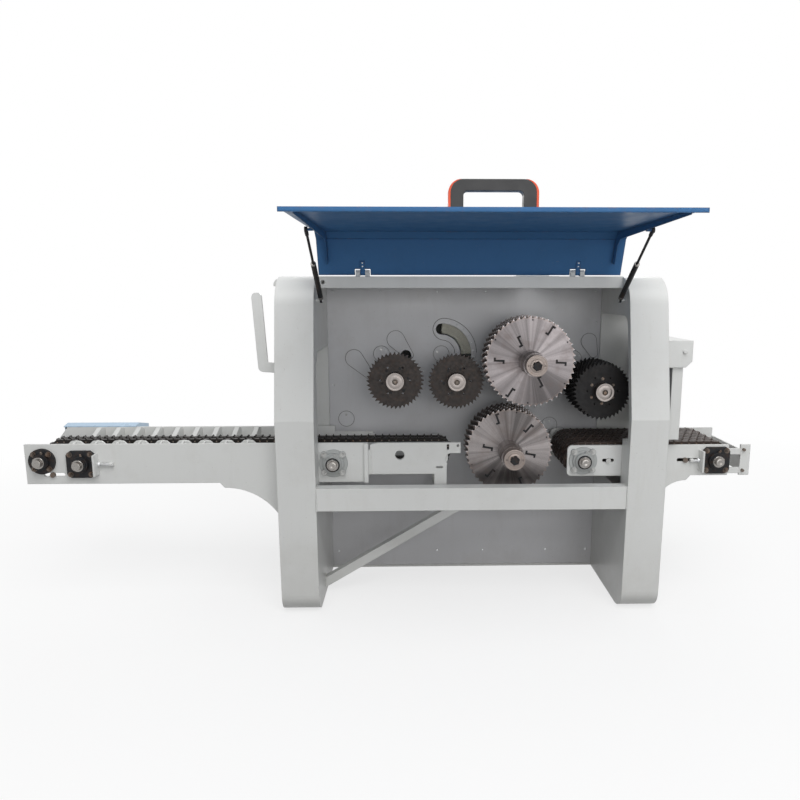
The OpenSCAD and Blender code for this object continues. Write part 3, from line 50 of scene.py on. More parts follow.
# Faces of the solids in millimetres behind that bend; those of the conveyors' plates with the way they look
PANEL_FACE = 510
COVER_FACE = 508
PLATE_FACES = ((105, -1), (470, 1))
NUT_FACE = 42
BLADE_FACE = 203
# Blade stacks: blades, millimetres and degrees from one to the next, teeth, and diameters in metres
BLADES = 6
BLADE_STEP = 33
BLADE_TURN = 17
TEETH = 48
UPPER_D = 0.400
LOWER_D = 0.388
# Press arms between their axes, and the round caps on the chamber panel as (x, z), in metres
ARM_L = 0.118
CAPS = ((-0.573, 0.765), (0.420, 0.730))
FORWARD = (0, -1, 0)
BACKWARD = (0, 1, 0)
MAP_RANGE = ("From Min", "From Max", "To Min", "To Max")


def spot(body):
    """Place along the feed and height of a body's axis."""
    return AXES[body][0], AXES[body][2]


def fy(d):
    """Y of a depth in millimetres behind the front bend."""
    return d / 1000.0 - FRONT_BEND


def polar(x, z, r, degrees):
    """Place at a radius and an angle round a centre, seen from the front."""
    a = math.radians(degrees)
    return x + r * math.cos(a), z + r * math.sin(a)


# Materials

class Mat:
    """A Principled material with short calls for its texture nodes, in object space."""

    def __init__(self, name, metallic=0.0, specular=0.5):
        self.m = bpy.data.materials.new(name)
        self.m.use_nodes = True
        self.t = self.m.node_tree
        self.t.nodes.clear()
        out = self.add("ShaderNodeOutputMaterial")
        self.b = self.add("ShaderNodeBsdfPrincipled")
        self.link(self.b.outputs[0], out.inputs[0])
        self.b.inputs["Metallic"].default_value = metallic
        self.b.inputs["Specular IOR Level"].default_value = specular
        self.co = self.add("ShaderNodeTexCoord").outputs["Object"]

    def add(self, kind, **settings):
        n = self.t.nodes.new(kind)
        for key, value in settings.items():
            setattr(n, key, value)
        return n

    def link(self, a, b):
        self.t.links.new(a, b)

    def put(self, socket, value):
        if hasattr(value, "links"):
            self.link(value, socket)
        else:
            socket.default_value = value

    def scaled(self, factors, co=None):
        n = self.add("ShaderNodeMapping")
        self.link(co or self.co, n.inputs["Vector"])
        n.inputs["Scale"].default_value = factors
        return n.outputs[0]

    def noise(self, scale, detail=3.0, rough=0.55, co=None):
        n = self.add("ShaderNodeTexNoise")
        self.link(co or self.co, n.inputs["Vector"])
        n.inputs["Scale"].default_value = scale
        n.inputs["Detail"].default_value = detail
        n.inputs["Roughness"].default_value = rough
        return n.outputs["Fac"]

    def span(self, value, low, high, to_low=0.0, to_high=1.0):
        n = self.add("ShaderNodeMapRange", clamp=True)
        self.put(n.inputs["Value"], value)
        for key, number in zip(MAP_RANGE, (low, high, to_low, to_high)):
            n.inputs[key].default_value = number
        return n.outputs[0]

    def calc(self, op, a, b=0.0):
        n = self.add("ShaderNodeMath", operation=op)
        self.put(n.inputs[0], a)
        self.put(n.inputs[1], b)
        return n.outputs[0]

    def mix(self, fac, a, b):
        n = self.add("ShaderNodeMix", data_type="RGBA")
        self.put(n.inputs[0], fac)
        for socket, value in ((n.inputs[6], a), (n.inputs[7], b)):
            if hasattr(value, "links"):
                self.link(value, socket)
            else:
                socket.default_value = (*value, 1.0)
        return n.outputs[2]

    def axis(self, which, co=None):
        n = self.add("ShaderNodeSeparateXYZ")
        self.link(co or self.co, n.inputs[0])
        return n.outputs[which]

    def edges(self, radius, low=0.02, high=0.25):
        bevel = self.add("ShaderNodeBevel", samples=4)
        bevel.inputs["Radius"].default_value = radius
        true = self.add("ShaderNodeNewGeometry").outputs["Normal"]
        dot = self.add("ShaderNodeVectorMath", operation="DOT_PRODUCT")
        self.link(bevel.outputs[0], dot.inputs[0])
        self.link(true, dot.inputs[1])
        return self.span(self.calc("SUBTRACT", 1.0, dot.outputs["Value"]), low, high), bevel.outputs[0]

    def bump(self, height, strength, distance, normal=None):
        n = self.add("ShaderNodeBump")
        n.inputs["Strength"].default_value = strength
        n.inputs["Distance"].default_value = distance
        self.link(height, n.inputs["Height"])
        if normal is not None:
            self.link(normal, n.inputs["Normal"])
        return n.outputs[0]

    def finish(self, colour, rough, normal):
        self.link(colour, self.b.inputs["Base Color"])
        self.put(self.b.inputs["Roughness"], rough)
        self.link(normal, self.b.inputs["Normal"])
        return self.m


def tint(colour, k):
    return tuple(min(1.0, c * k) for c in colour)


def paint(name, colour, rust=(0.20, 0.11, 0.06), wear=0.5, dirt=0.25, rough=0.36, low_darkening=0.0,
          radius=0.004, specular=0.5):
    """Sprayed enamel: soft mottling, grime, rubbed edges and a faint orange peel."""
    m = Mat(name, 0.0, specular)
    edge, rounded = m.edges(radius)
    tone = m.mix(m.noise(1.7, 2.0), tint(colour, 0.95), tint(colour, 1.04))
    grime = m.span(m.noise(5.5, 6.0, 0.62), 0.52, 0.78, 0.0, dirt)
    grimy = m.mix(grime, tone, (colour[0] * 0.55, colour[1] * 0.50, colour[2] * 0.44))
    streaks = m.span(m.noise(9.0, 5.0, 0.7, m.scaled((3.0, 3.0, 0.35))), 0.55, 0.8, 0.0, dirt * 0.7)
    streaked = m.mix(streaks, grimy, (colour[0] * 0.62, colour[1] * 0.57, colour[2] * 0.50))
    # Darker towards the bottom, in patches, below 0.42 m
    if low_darkening:
        low = m.span(m.axis(2), 0.42, 0.0, 0.0, low_darkening)
        streaked = m.mix(m.calc("MULTIPLY", low, m.noise(14.0, 6.0, 0.7)), streaked, (0.34, 0.31, 0.27))
    specks = m.span(m.noise(160.0, 2.0), 0.70, 0.76, 0.0, 0.35)
    specked = m.mix(specks, streaked, (0.28, 0.25, 0.22))
    rubbed = m.calc("MULTIPLY", edge, m.span(m.noise(26.0, 6.0, 0.7), 0.52, 0.70, 0.0, wear))
    worn = m.mix(rubbed, specked, rust)
    shine = m.calc("ADD", m.span(m.noise(12.0, 4.0), 0.3, 0.7, rough - 0.05, rough + 0.09),
                   m.calc("MULTIPLY", rubbed, 0.3))
    peel = m.bump(m.noise(620.0, 2.0), 0.06, 0.0006, rounded)
    waves = m.bump(m.noise(6.0, 1.5), 0.05, 0.004, peel)
    return m.finish(worn, shine, waves)


def iron(name, colour, rust=(0.16, 0.075, 0.035), amount=0.4, rough=0.5, metallic=0.3, grain=260.0,
         specular=0.5, plated=None):
    """Cast or forged metal with a pitted skin, oil and brown tarnish, plated between the pillars if asked."""
    m = Mat(name, metallic, specular)
    tone = m.mix(m.noise(30.0, 4.0, 0.65), tint(colour, 0.7), tint(colour, 1.45))
    stain = m.span(m.noise(48.0, 7.0, 0.7), 0.48, 0.70, 0.0, amount)
    stained = m.mix(stain, tone, rust)
    if plated:
        inside = m.span(m.calc("ABSOLUTE", m.axis(0)), 0.70, 0.72, 1.0, 0.0)
        stained = m.mix(inside, stained, m.mix(m.noise(90.0, 4.0), tint(plated, 0.75), tint(plated, 1.2)))
    shine = m.span(m.noise(75.0, 4.0), 0.3, 0.7, rough - 0.14, rough + 0.16)
    skin = m.bump(m.noise(grain, 4.0, 0.6), 0.28, 0.0012)
    return m.finish(stained, shine, skin)


def steel(name, colour, rough=0.26, stain=0.25, rust=(0.24, 0.13, 0.07), stretch=(1.0, 24.0, 1.0)):
    """Turned or ground bright steel with fine tool lines and light stains."""
    m = Mat(name, 1.0)
    lines = m.noise(240.0, 3.0, 0.6, m.scaled(stretch))
    tone = m.mix(lines, tint(colour, 0.80), tint(colour, 1.10))
    spots = m.span(m.noise(60.0, 6.0, 0.7), 0.56, 0.75, 0.0, stain)
    stained = m.mix(spots, tone, rust)
    shine = m.calc("ADD", m.span(lines, 0.25, 0.75, rough - 0.07, rough + 0.10),
                   m.calc("MULTIPLY", spots, 0.35))
    return m.finish(stained, shine, m.bump(lines, 0.10, 0.0004))


def blade_steel(name, x, z, d, colour, phase):
    """Saw plate: rings round the arbor from grinding, a painted sheen in bright and dark wedges round it,
    resin stains and darker gullets.
    """
    m = Mat(name, 1.0)
    m.b.inputs["Anisotropic"].default_value = 0.72
    tangent = m.add("ShaderNodeTangent", direction_type="RADIAL", axis="Y")
    m.link(tangent.outputs[0], m.b.inputs["Tangent"])
    shift = m.add("ShaderNodeVectorMath", operation="SUBTRACT")
    m.link(m.co, shift.inputs[0])
    shift.inputs[1].default_value = (x, 0.0, z)
    flat = m.add("ShaderNodeVectorMath", operation="MULTIPLY")
    m.link(shift.outputs[0], flat.inputs[0])
    flat.inputs[1].default_value = (1.0, 0.0, 1.0)
    length = m.add("ShaderNodeVectorMath", operation="LENGTH")
    m.link(flat.outputs[0], length.inputs[0])
    radius = length.outputs["Value"]
    ring = m.add("ShaderNodeTexNoise", noise_dimensions="1D")
    m.link(m.calc("MULTIPLY", radius, 900.0), ring.inputs["W"])
    ring.inputs["Scale"].default_value = 1.0
    ring.inputs["Detail"].default_value = 4.0
    lines = ring.outputs["Fac"]
    # Painted sheen: the base colour goes lighter and darker in wedges round the arbor, standing in for light
    # on the ground plate
    turn = m.calc("ARCTAN2", m.axis(2, shift.outputs[0]), m.axis(0, shift.outputs[0]))
    sheen_wave = m.calc("SINE", m.calc("ADD", m.calc("MULTIPLY", turn, 2.0), phase))
    unit = m.add("ShaderNodeVectorMath", operation="NORMALIZE")
    m.link(flat.outputs[0], unit.inputs[0])
    sheen_wedges = m.calc("ADD", m.noise(3.4, 5.0, 0.62, unit.outputs[0]), m.calc("MULTIPLY", sheen_wave, 0.10))
    painted_sheen = m.mix(m.span(sheen_wedges, 0.36, 0.66), tint(colour, 0.50), tint(colour, 1.65))
    tone = m.mix(m.calc("MULTIPLY", lines, 0.5), painted_sheen, tint(colour, 0.75))
    resin = m.span(m.noise(11.0, 6.0, 0.65), 0.48, 0.72, 0.0, 0.45)
    stained = m.mix(resin, tone, (colour[0] * 0.62, colour[1] * 0.50, colour[2] * 0.44))
    rim = m.span(radius, d * 0.462, d * 0.5, 0.0, 0.5)
    rimmed = m.mix(rim, stained, (0.30, 0.22, 0.18))
    shine = m.calc("ADD", m.span(lines, 0.2, 0.8, 0.24, 0.40), m.calc("MULTIPLY", resin, 0.25))
    return m.finish(rimmed, shine, m.bump(lines, 0.08, 0.0003))


def plastic(name, colour, rough=0.45, grain=420.0, strength=0.25):
    """Moulded plastic with a fine grain, handling sheen and light scuffs."""
    m = Mat(name)
    edge, rounded = m.edges(0.004)
    tone = m.mix(m.noise(20.0, 4.0), tint(colour, 0.8), tint(colour, 1.3))
    scuffed = m.mix(m.calc("MULTIPLY", edge, m.span(m.noise(60.0, 5.0), 0.45, 0.7, 0.0, 0.5)), tone,
                    tuple(0.5 * c + 0.10 for c in colour))
    shine = m.span(m.noise(16.0, 4.0), 0.3, 0.7, rough - 0.10, rough + 0.10)
    return m.finish(scuffed, shine, m.bump(m.noise(grain, 2.0), strength, 0.0008, rounded))


def bristle(name, colour):
    """Stiff hair, each strand a little lighter or darker than the next."""
    m = Mat(name)
    tone = m.mix(m.noise(300.0, 4.0, 0.6), tint(colour, 0.45), tint(colour, 1.7))
    shine = m.span(m.noise(200.0, 2.0), 0.3, 0.7, 0.5, 0.75)
    return m.finish(tone, shine, m.bump(m.noise(900.0, 2.0), 0.3, 0.0004))


WHITE = paint("white_enamel", (0.70, 0.705, 0.69), wear=0.45, dirt=0.16, low_darkening=0.35)
PANEL = paint("panel_enamel", (0.60, 0.60, 0.615), wear=0.3, dirt=0.20, low_darkening=0.2)
BLUE = paint("hood_enamel", (0.062, 0.172, 0.365), rust=(0.26, 0.12, 0.07), wear=0.9, dirt=0.18, rough=0.33,
             radius=0.010, specular=0.08)
GUARD = paint("guard_enamel", (0.46, 0.61, 0.76), rust=(0.26, 0.12, 0.07), wear=0.6, dirt=0.15, rough=0.30)
MOTOR = paint("motor_enamel", (0.055, 0.12, 0.20), wear=0.6, dirt=0.3)
GREY = paint("grey_casting", (0.43, 0.443, 0.438), wear=0.5, dirt=0.35, rough=0.45, radius=0.006)
BLACK = iron("black_casting", (0.016, 0.017, 0.019), amount=0.22, rough=0.48, metallic=0.0, specular=0.22)
DARK = iron("dark_roller", (0.028, 0.023, 0.021), rust=(0.070, 0.040, 0.027), amount=0.5, rough=0.50,
            metallic=0.5)
DARKER = iron("third_roller_iron", (0.011, 0.0105, 0.011), rust=(0.022, 0.016, 0.013), amount=0.4,
              metallic=0.3, specular=0.3)
CHAIN = iron("infeed_links", (0.018, 0.016, 0.015), rust=(0.055, 0.035, 0.024), amount=0.4, metallic=0.5)
MAT_CHAIN = iron("outfeed_links", (0.036, 0.025, 0.021), rust=(0.085, 0.048, 0.032), amount=0.6, metallic=0.4)
STEEL = steel("turned_steel", (0.31, 0.295, 0.28))
RUSTY = iron("bolt_steel", (0.17, 0.145, 0.125), rust=(0.20, 0.10, 0.05), amount=0.75, rough=0.46,
             metallic=0.8)
BOLTS = iron("machine_bolts", (0.13, 0.11, 0.095), rust=(0.17, 0.085, 0.045), amount=0.7, rough=0.46,
             metallic=0.8, plated=(0.46, 0.46, 0.45))
ZINC = steel("plated_screws", (0.66, 0.67, 0.68), rough=0.30, stain=0.15)
NUT = steel("arbor_nuts", (0.25, 0.215, 0.197), rough=0.36, stain=0.5)
HUB = steel("roller_hubs", (0.29, 0.262, 0.248), rough=0.36, stain=0.5)
# The last number turns the painted sheen's wedges on each blade stack
UPPER = blade_steel("upper_saw_plate", *spot("upper_spindle"), UPPER_D, (0.190, 0.174, 0.176), 0.6)
LOWER = blade_steel("lower_saw_plate", *spot("lower_spindle"), LOWER_D, (0.190, 0.175, 0.173), 2.2)
CARBIDE = steel("carbide", (0.34, 0.33, 0.34), rough=0.30, stain=0.3)
RUBBER = plastic("belt_rubber", (0.014, 0.014, 0.014), rough=0.62, grain=150.0)
GRIP = plastic("grip_plastic", (0.012, 0.012, 0.013))
ORANGE = plastic("trim_plastic", (0.72, 0.085, 0.025), rough=0.38)
BRISTLE = bristle("brush_hair", (0.66, 0.60, 0.51))
# Dark line material: painted shadow in the cut seams round the panel's plates
SHADOW = iron("seam_line", (0.10, 0.095, 0.09), amount=0.2, metallic=0.0)

BY_NODE = {
    "chamber_panel": PANEL, "panel_covers": PANEL, "brush_seal": BRISTLE, "infeed_chain": CHAIN,
    "outfeed_chain": MAT_CHAIN, "infeed_guard": GUARD, "hood_panel": BLUE, "end_bearings": BLACK,
    "tension_bearings": BLACK, "inner_bearings": GREY, "spindle_housings": GREY, "drive_motors": MOTOR,
    "feed_gearmotors": MOTOR, "drive_belts": RUBBER, "machine_bolts": BOLTS, "hood_handle": GRIP,
    "handle_trim": ORANGE, "hood_hinges": BLUE, "left_strut_cylinder": BLACK, "right_strut_cylinder": BLACK,
    "left_strut_rod": BLACK, "right_strut_rod": BLACK, "upper_arbor": NUT, "lower_arbor": NUT,
    "upper_blades": UPPER, "lower_blades": LOWER, "upper_motor_pulley": DARK, "lower_motor_pulley": DARK,
    "infeed_end_shaft": STEEL, "infeed_tension_shaft": STEEL, "infeed_inner_shaft": STEEL,
    "outfeed_inner_shaft": STEEL, "outfeed_end_shaft": STEEL, "first_arm": GREY, "second_arm": GREY,
    "third_arm": GREY, "first_roller": DARK, "second_roller": DARK, "third_roller": DARKER,
}
for node, obj in NODES.items():
    obj.data.materials.clear()
    obj.data.materials.append(BY_NODE.get(node, WHITE))


# Camera, light and floor

camera = bpy.data.objects.new("Camera", bpy.data.cameras.new("Camera"))
SCENE.collection.objects.link(camera)
camera.location = (-0.245, -3.199, 1.383)
camera.rotation_euler = (math.radians(80.4), 0.0, math.radians(-1.36))
camera.data.sensor_width = 36.0
camera.data.lens = 29.4
camera.data.shift_x = -0.03625
camera.data.shift_y = 0.0006
SCENE.camera = camera


def area(name, place, aim, size, power):
    """Rectangular soft light that faces a point."""
    light = bpy.data.objects.new(name, bpy.data.lights.new(name, "AREA"))
    SCENE.collection.objects.link(light)
    light.data.shape = "RECTANGLE"
    light.data.size, light.data.size_y = size
    light.data.energy = power
    light.location = place
    light.rotation_euler = (Vector(aim) - Vector(place)).to_track_quat("-Z", "Y").to_euler()


MIDDLE = (0.0, 0.0, 0.8)
area("overhead", (0.3, -3.2, 5.0), MIDDLE, (4.2, 3.0), 166.0)
area("front", (1.2, -5.4, 1.7), MIDDLE, (4.4, 2.0), 60.0)
area("back", (0.5, 4.6, 3.6), MIDDLE, (4.0, 3.0), 120.0)


def seen(tree):
    """1 for rays from the camera, from glossy surfaces and through clear ones."""
    ray = tree.nodes.new("ShaderNodeLightPath")
    out = ray.outputs["Is Camera Ray"]
    for kind in ("Is Glossy Ray", "Is Transmission Ray"):
        top = tree.nodes.new("ShaderNodeMath")
        top.operation = "MAXIMUM"
        tree.links.new(out, top.inputs[0])
        tree.links.new(ray.outputs[kind], top.inputs[1])
        out = top.outputs[0]
    return out


world = bpy.data.worlds.new("Studio")
SCENE.world = world
world.use_nodes = True
wt = world.node_tree
wt.nodes.clear()
w_out = wt.nodes.new("ShaderNodeOutputWorld")
w_mix = wt.nodes.new("ShaderNodeMixShader")
w_dim = wt.nodes.new("ShaderNodeBackground")
w_white = wt.nodes.new("ShaderNodeBackground")
w_dim.inputs[0].default_value = (0.97, 0.985, 1.0, 1.0)
w_dim.inputs[1].default_value = 0.42
w_white.inputs[0].default_value = (1.0, 1.0, 1.0, 1.0)
w_white.inputs[1].default_value = 1.0
wt.links.new(seen(wt), w_mix.inputs[0])
wt.links.new(w_dim.outputs[0], w_mix.inputs[1])
wt.links.new(w_white.outputs[0], w_mix.inputs[2])
wt.links.new(w_mix.outputs[0], w_out.inputs[0])

SCENE.view_settings.view_transform = "Standard"


def floor():
    """White floor that keeps the object's shadow and fades out with distance."""
    bm = bmesh.new()
    bmesh.ops.create_grid(bm, x_segments=2, y_segments=2, size=30.0)
    data = bpy.data.meshes.new("floor")
    bm.to_mesh(data)
    bm.free()
    obj = bpy.data.objects.new("floor", data)
    SCENE.collection.objects.link(obj)
    obj.location = (0.0, 0.0, -0.0005)
    m = bpy.data.materials.new("floor")
    m.use_nodes = True
    t = m.node_tree
    t.nodes.clear()
    out = t.nodes.new("ShaderNodeOutputMaterial")
    mix = t.nodes.new("ShaderNodeMixShader")
    place = t.nodes.new("ShaderNodeTexCoord")
    far = t.nodes.new("ShaderNodeVectorMath")
    far.operation = "LENGTH"
    fade = t.nodes.new("ShaderNodeMapRange")
    for key, number in zip(MAP_RANGE, (1.2, 4.2, 0.70, 1.0)):
        fade.inputs[key].default_value = number
    share = t.nodes.new("ShaderNodeMath")
    share.operation = "MULTIPLY"
    shade = t.nodes.new("ShaderNodeMix")
    shade.data_type = "RGBA"
    shade.inputs[6].default_value = (0.30, 0.30, 0.30, 1.0)
    shade.inputs[7].default_value = (0.90, 0.90, 0.90, 1.0)
    diffuse = t.nodes.new("ShaderNodeBsdfDiffuse")
    glow = t.nodes.new("ShaderNodeEmission")
    glow.inputs[1].default_value = 1.0
    view = seen(t)
    t.links.new(place.outputs["Object"], far.inputs[0])
    t.links.new(far.outputs["Value"], fade.inputs["Value"])
    t.links.new(view, share.inputs[0])
    t.links.new(fade.outputs[0], share.inputs[1])
    t.links.new(share.outputs[0], mix.inputs[0])
    t.links.new(view, shade.inputs[0])
    t.links.new(shade.outputs[2], diffuse.inputs[0])
    t.links.new(diffuse.outputs[0], mix.inputs[1])
    t.links.new(glow.outputs[0], mix.inputs[2])
    t.links.new(mix.outputs[0], out.inputs[0])
    data.materials.append(m)


floor()


# Mesh pieces

class Build:
    """Gathers many small solids into one mesh that rides on a body."""

    def __init__(self, name, body, material, slot):
        self.name, self.body, self.material, self.slot = name, body, material, slot
        self.v, self.f = [], []

    def add(self, verts, faces):
        o = len(self.v)
        self.v += [tuple(p) for p in verts]
        self.f += [tuple(i + o for i in face) for face in faces]

    def lathe(self, profile, at, axis, n=20, spin=0.0):
        """Turns (radius, height) pairs about axis through at; a radius of 0 closes the end."""
        axis = Vector(axis).normalized()
        u = axis.orthogonal().normalized()
        w = axis.cross(u)
        at = Vector(at)
        verts, faces, rows = [], [], []
        for r, h in profile:
            row = []
            for k in range(1 if r == 0 else n):
                a = spin + 2 * math.pi * k / n
                verts.append(at + axis * h + (u * math.cos(a) + w * math.sin(a)) * r)
                row.append(len(verts) - 1)
            rows.append(row)
        for a, b in zip(rows, rows[1:]):
            for k in range(n):
                j = (k + 1) % n
                if len(a) == 1 and len(b) > 1:
                    faces.append((a[0], b[j], b[k]))
                elif len(b) == 1 and len(a) > 1:
                    faces.append((a[k], a[j], b[0]))
                elif len(a) > 1:
                    faces.append((a[k], a[j], b[j], b[k]))
        self.add(verts, faces)

    def prism(self, outline, place, depth):
        """Outline of (x, z) pairs with a depth along Y; place maps it into the frame."""
        n = len(outline)
        verts = [place @ Vector((x, y, z)) for y in (0.0, depth) for x, z in outline]
        faces = [tuple(range(n)), tuple(range(2 * n - 1, n - 1, -1))]
        faces += [(i, i + n, (i + 1) % n + n, (i + 1) % n) for i in range(n)]
        self.add(verts, faces)

    def tube(self, path, r, n=8, closed=False):
        """Round tube along a list of points."""
        pts = [Vector(p) for p in path]
        verts, faces = [], []
        m = len(pts)
        ref = None
        for i, p in enumerate(pts):
            a = pts[i - 1] if closed or i else p
            b = pts[(i + 1) % m] if closed or i < m - 1 else p
            t = (b - a).normalized()
            u = t.orthogonal() if ref is None else ref - t * ref.dot(t)
            u.normalize()
            ref = u
            w = t.cross(u)
            verts += [p + (u * math.cos(2 * math.pi * k / n) + w * math.sin(2 * math.pi * k / n)) * r
                      for k in range(n)]
        for i in range(m if closed else m - 1):
            j = (i + 1) % m
            faces += [(i * n + k, i * n + (k + 1) % n, j * n + (k + 1) % n, j * n + k) for k in range(n)]
        if not closed:
            faces += [tuple(range(n - 1, -1, -1)), tuple(range((m - 1) * n, m * n))]
        self.add(verts, faces)

    def done(self, smooth=38.0):
        data = bpy.data.meshes.new(self.name)
        data.from_pydata(self.v, [], self.f)
        bm = bmesh.new()
        bm.from_mesh(data)
        bmesh.ops.recalc_face_normals(bm, faces=bm.faces)
        for face in bm.faces:
            face.smooth = True
        for edge in bm.edges:
            edge.smooth = edge.calc_face_angle(math.pi) < math.radians(smooth)
        bm.to_mesh(data)
        bm.free()
        data.materials.append(self.material)
        obj = bpy.data.objects.new(self.name, data)
        SCENE.collection.objects.link(obj)
        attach(obj, self.body)
        return obj


def brush():
    """Bristle strip across the second press slot, in the place of its coarse solid."""
    rng = random.Random(7)
    cx, cz = spot("second_lever")
    r, count, sweep, y0 = 0.144, 1150, 88.0, fy(516.5)
    hair = Build("brush_bristles", "frame", BRISTLE, "brush_bristle")

    def at(reach, a, y):
        return Vector((cx + reach * math.cos(a), y, cz + reach * math.sin(a)))

    for i in range(count):
        a = math.radians(sweep * (i + rng.random()) / count)
        y = y0 + 0.0012 + rng.random() * 0.0066
        lean = math.radians(rng.uniform(-2.2, 2.2))
        length = 0.0475 + rng.uniform(-0.004, 0.0005)
        root = at(r + 0.003, a, y)
        mid = at(r - length * 0.55, a + lean * 0.3, y + rng.uniform(-0.0003, 0.0003))
        tip = at(r - length, a + lean, y + rng.uniform(-0.0006, 0.0006))
        hair.tube([root, mid, tip], 0.00034, 4)
    obj = hair.done()
    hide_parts("brush_seal")
    back = Build("brush_holder", "frame", ZINC, "brush_bristle")
    back.tube([at(0.1485, math.radians(a), y0 + 0.0045) for a in range(0, 89, 2)], 0.0042, 10)
    back.done()


def tips(name, body, d):
    """Carbide tips on every tooth of a blade stack."""
    x, z = spot(body)
    step = 360.0 / TEETH
    corners = ((0.0002, 0.0), (0.0014, 0.15), (0.0070, 0.10), (0.0084, -0.05))
    out = Build(name, body, CARBIDE, "bright_steel")
    for blade in range(BLADES):
        y = fy(BLADE_FACE + BLADE_STEP * blade) - 0.00035
        for tooth in range(TEETH):
            a = tooth * step + BLADE_TURN * blade
            shape = [polar(x, z, d / 2 - down, a + k * step) for down, k in corners]
            out.prism(shape, Matrix.Translation((0, y, 0)), 0.0047)
    out.done(20)


def slot_shade_fills(name, body, d, start):
    """Black fill in the expansion slots and rim openings of the front blade: painted shade where the blade
    behind lies in shadow.
    """
    x, z = spot(body)
    out = Build(name, body, BLACK, "black_iron")
    half, w, hook, hole_r = 0.0239, 0.0044, 0.0134, 0.0034
    shares = (0.68, 0.8, 0.5)
    shape = [(-half, -w), (half - 2 * w, -w), (half - 2 * w, -hook), (half, -hook),
             (half, w), (2 * w - half, w), (2 * w - half, hook), (-half, hook)]
    disc = [(hole_r * math.cos(k * math.pi / 8), hole_r * math.sin(k * math.pi / 8)) for k in range(16)]
    for i in range(6):
        slot = (shape, d / 2 * shares[i % 3], 60 * i - 2)
        hole = (disc, d * 0.455, 60 * i + 28)
        for outline, mid, turn in (slot, hole):
            c, s = polar(0, 0, 1, start + turn)
            place = [(x + (mid + u) * c - v * s, z + (mid + u) * s + v * c) for u, v in outline]
            out.prism(place, Matrix.Translation((0, fy(BLADE_FACE + 1.5), 0)), 0.002)
    out.done(20)


def loop_at(s, x0, x1, z, r, out):
    """Place on a round-ended chain loop at a distance s, as in the solids."""
    run, bend, q = x1 - x0, math.pi * r, r + out
    u = s % (2 * (run + bend))
    if u < run:
        return Vector((x0 + u, z + q))
    if u < run + bend:
        a = (u - run) / r
        return Vector((x1 + q * math.sin(a), z + q * math.cos(a)))
    if u < 2 * run + bend:
        return Vector((x1 - (u - run - bend), z - q))
    a = (u - 2 * run - bend) / r
    return Vector((x0 - q * math.sin(a), z - q * math.cos(a)))


def links(name, material, slot, x0, x1, z, r, strands, width):
    """Side plates and pin heads on the faces of each chain strand."""
    total = 2 * (x1 - x0) + 2 * math.pi * r
    count = math.floor(total / 0.032)
    step = total / count
    plates = Build(name, "frame", material, slot)
    pins = Build(name + "_pins", "frame", RUSTY, slot)
    for front, phase in strands:
        for i in range(count):
            a = loop_at((i + phase + 0.5) * step, x0, x1, z, r, -0.010)
            b = loop_at((i + phase + 1.5) * step, x0, x1, z, r, -0.010)
            along = (b - a).normalized()
            up = Vector((-along[1], along[0]))
            shape = []
            for centre, side in ((b, 1), (a, -1)):
                for k in range(7):
                    t = math.radians(-90 + 30 * k) if side > 0 else math.radians(90 + 30 * k)
                    shape.append(centre + (along * math.cos(t) + up * math.sin(t)) * 0.0068)
            waist = (a + b) / 2
            shape.insert(7, waist + up * 0.0052)
            shape.append(waist - up * 0.0052)
            lift = 0.0012 * (i % 2)
            for y in (front - 0.0016 - lift * 0.5, front + width + lift * 0.5):
                plates.prism([tuple(p) for p in shape], Matrix.Translation((0, y, 0)), 0.0016)
            pins.lathe([(0, 0), (0.0034, 0), (0.0034, 0.0012), (0.0022, 0.0019), (0, 0.0019)],
                       (a[0], front - 0.0018, a[1]), FORWARD, 8)
    plates.done(30)
    pins.done()


def chains():
    """Links of the two infeed strands and of the outfeed's mat."""
    mid = (PLATE_FACES[0][0] + PLATE_FACES[1][0]) / 2
    strand_w, nose_x, in_top, out_top = 0.024, -0.135, 0.724, 0.730
    strands = [(fy(mid + (i - 1) * 42 + 9), 0.0) for i in range(2)]
    x0, z = spot("infeed_end_axle")
    links("infeed_link_plates", CHAIN, "dark_steel", x0, nose_x, z, in_top - z, strands, strand_w)
    strands = [(fy(mid - 8 + (i - 4.5) * 32), (i % 2) / 2) for i in range(9)]
    x0, z = spot("outfeed_inner_axle")
    x1 = spot("outfeed_end_axle")[0]
    links("outfeed_link_plates", MAT_CHAIN, "dark_steel", x0, x1, z, out_top - z, strands, strand_w)


def bolt(out, at, axis, size, head, washer=True, spin=0.0):
    """Chamfered hex head, on a washer if asked."""
    if washer:
        out.lathe([(0, 0), (size * 0.72, 0), (size * 0.72, size * 0.08), (0, size * 0.08)], at, axis, 24)
    out.lathe([(0, 0), (size * 0.56, 0), (size * 0.56, head * 0.8), (size * 0.47, head), (0, head)],
              at, axis, 6, spin)


def screw(out, at, axis, d):
    """Low domed screw head with a dimple."""
    r = d / 2
    out.lathe([(r, 0), (r, r * 0.25), (r * 0.8, r * 0.5), (r * 0.42, r * 0.62), (r * 0.30, r * 0.40),
               (0, r * 0.36)], at, axis, 14)


# Width of the flange bearing on each shaft, and the share of it at which its bolts lie, both from the solids
ROUND_W, SQUARE_W, LOBED_W = 110, 117, 122
SHAFTS = {"infeed_end_axle": ROUND_W, "infeed_tension_axle": SQUARE_W, "infeed_inner_axle": LOBED_W,
          "outfeed_inner_axle": LOBED_W, "outfeed_end_axle": SQUARE_W}
BOLT_SHARE = {ROUND_W: 0.405, SQUARE_W: 0.37 * math.sqrt(2), LOBED_W: 0.46}


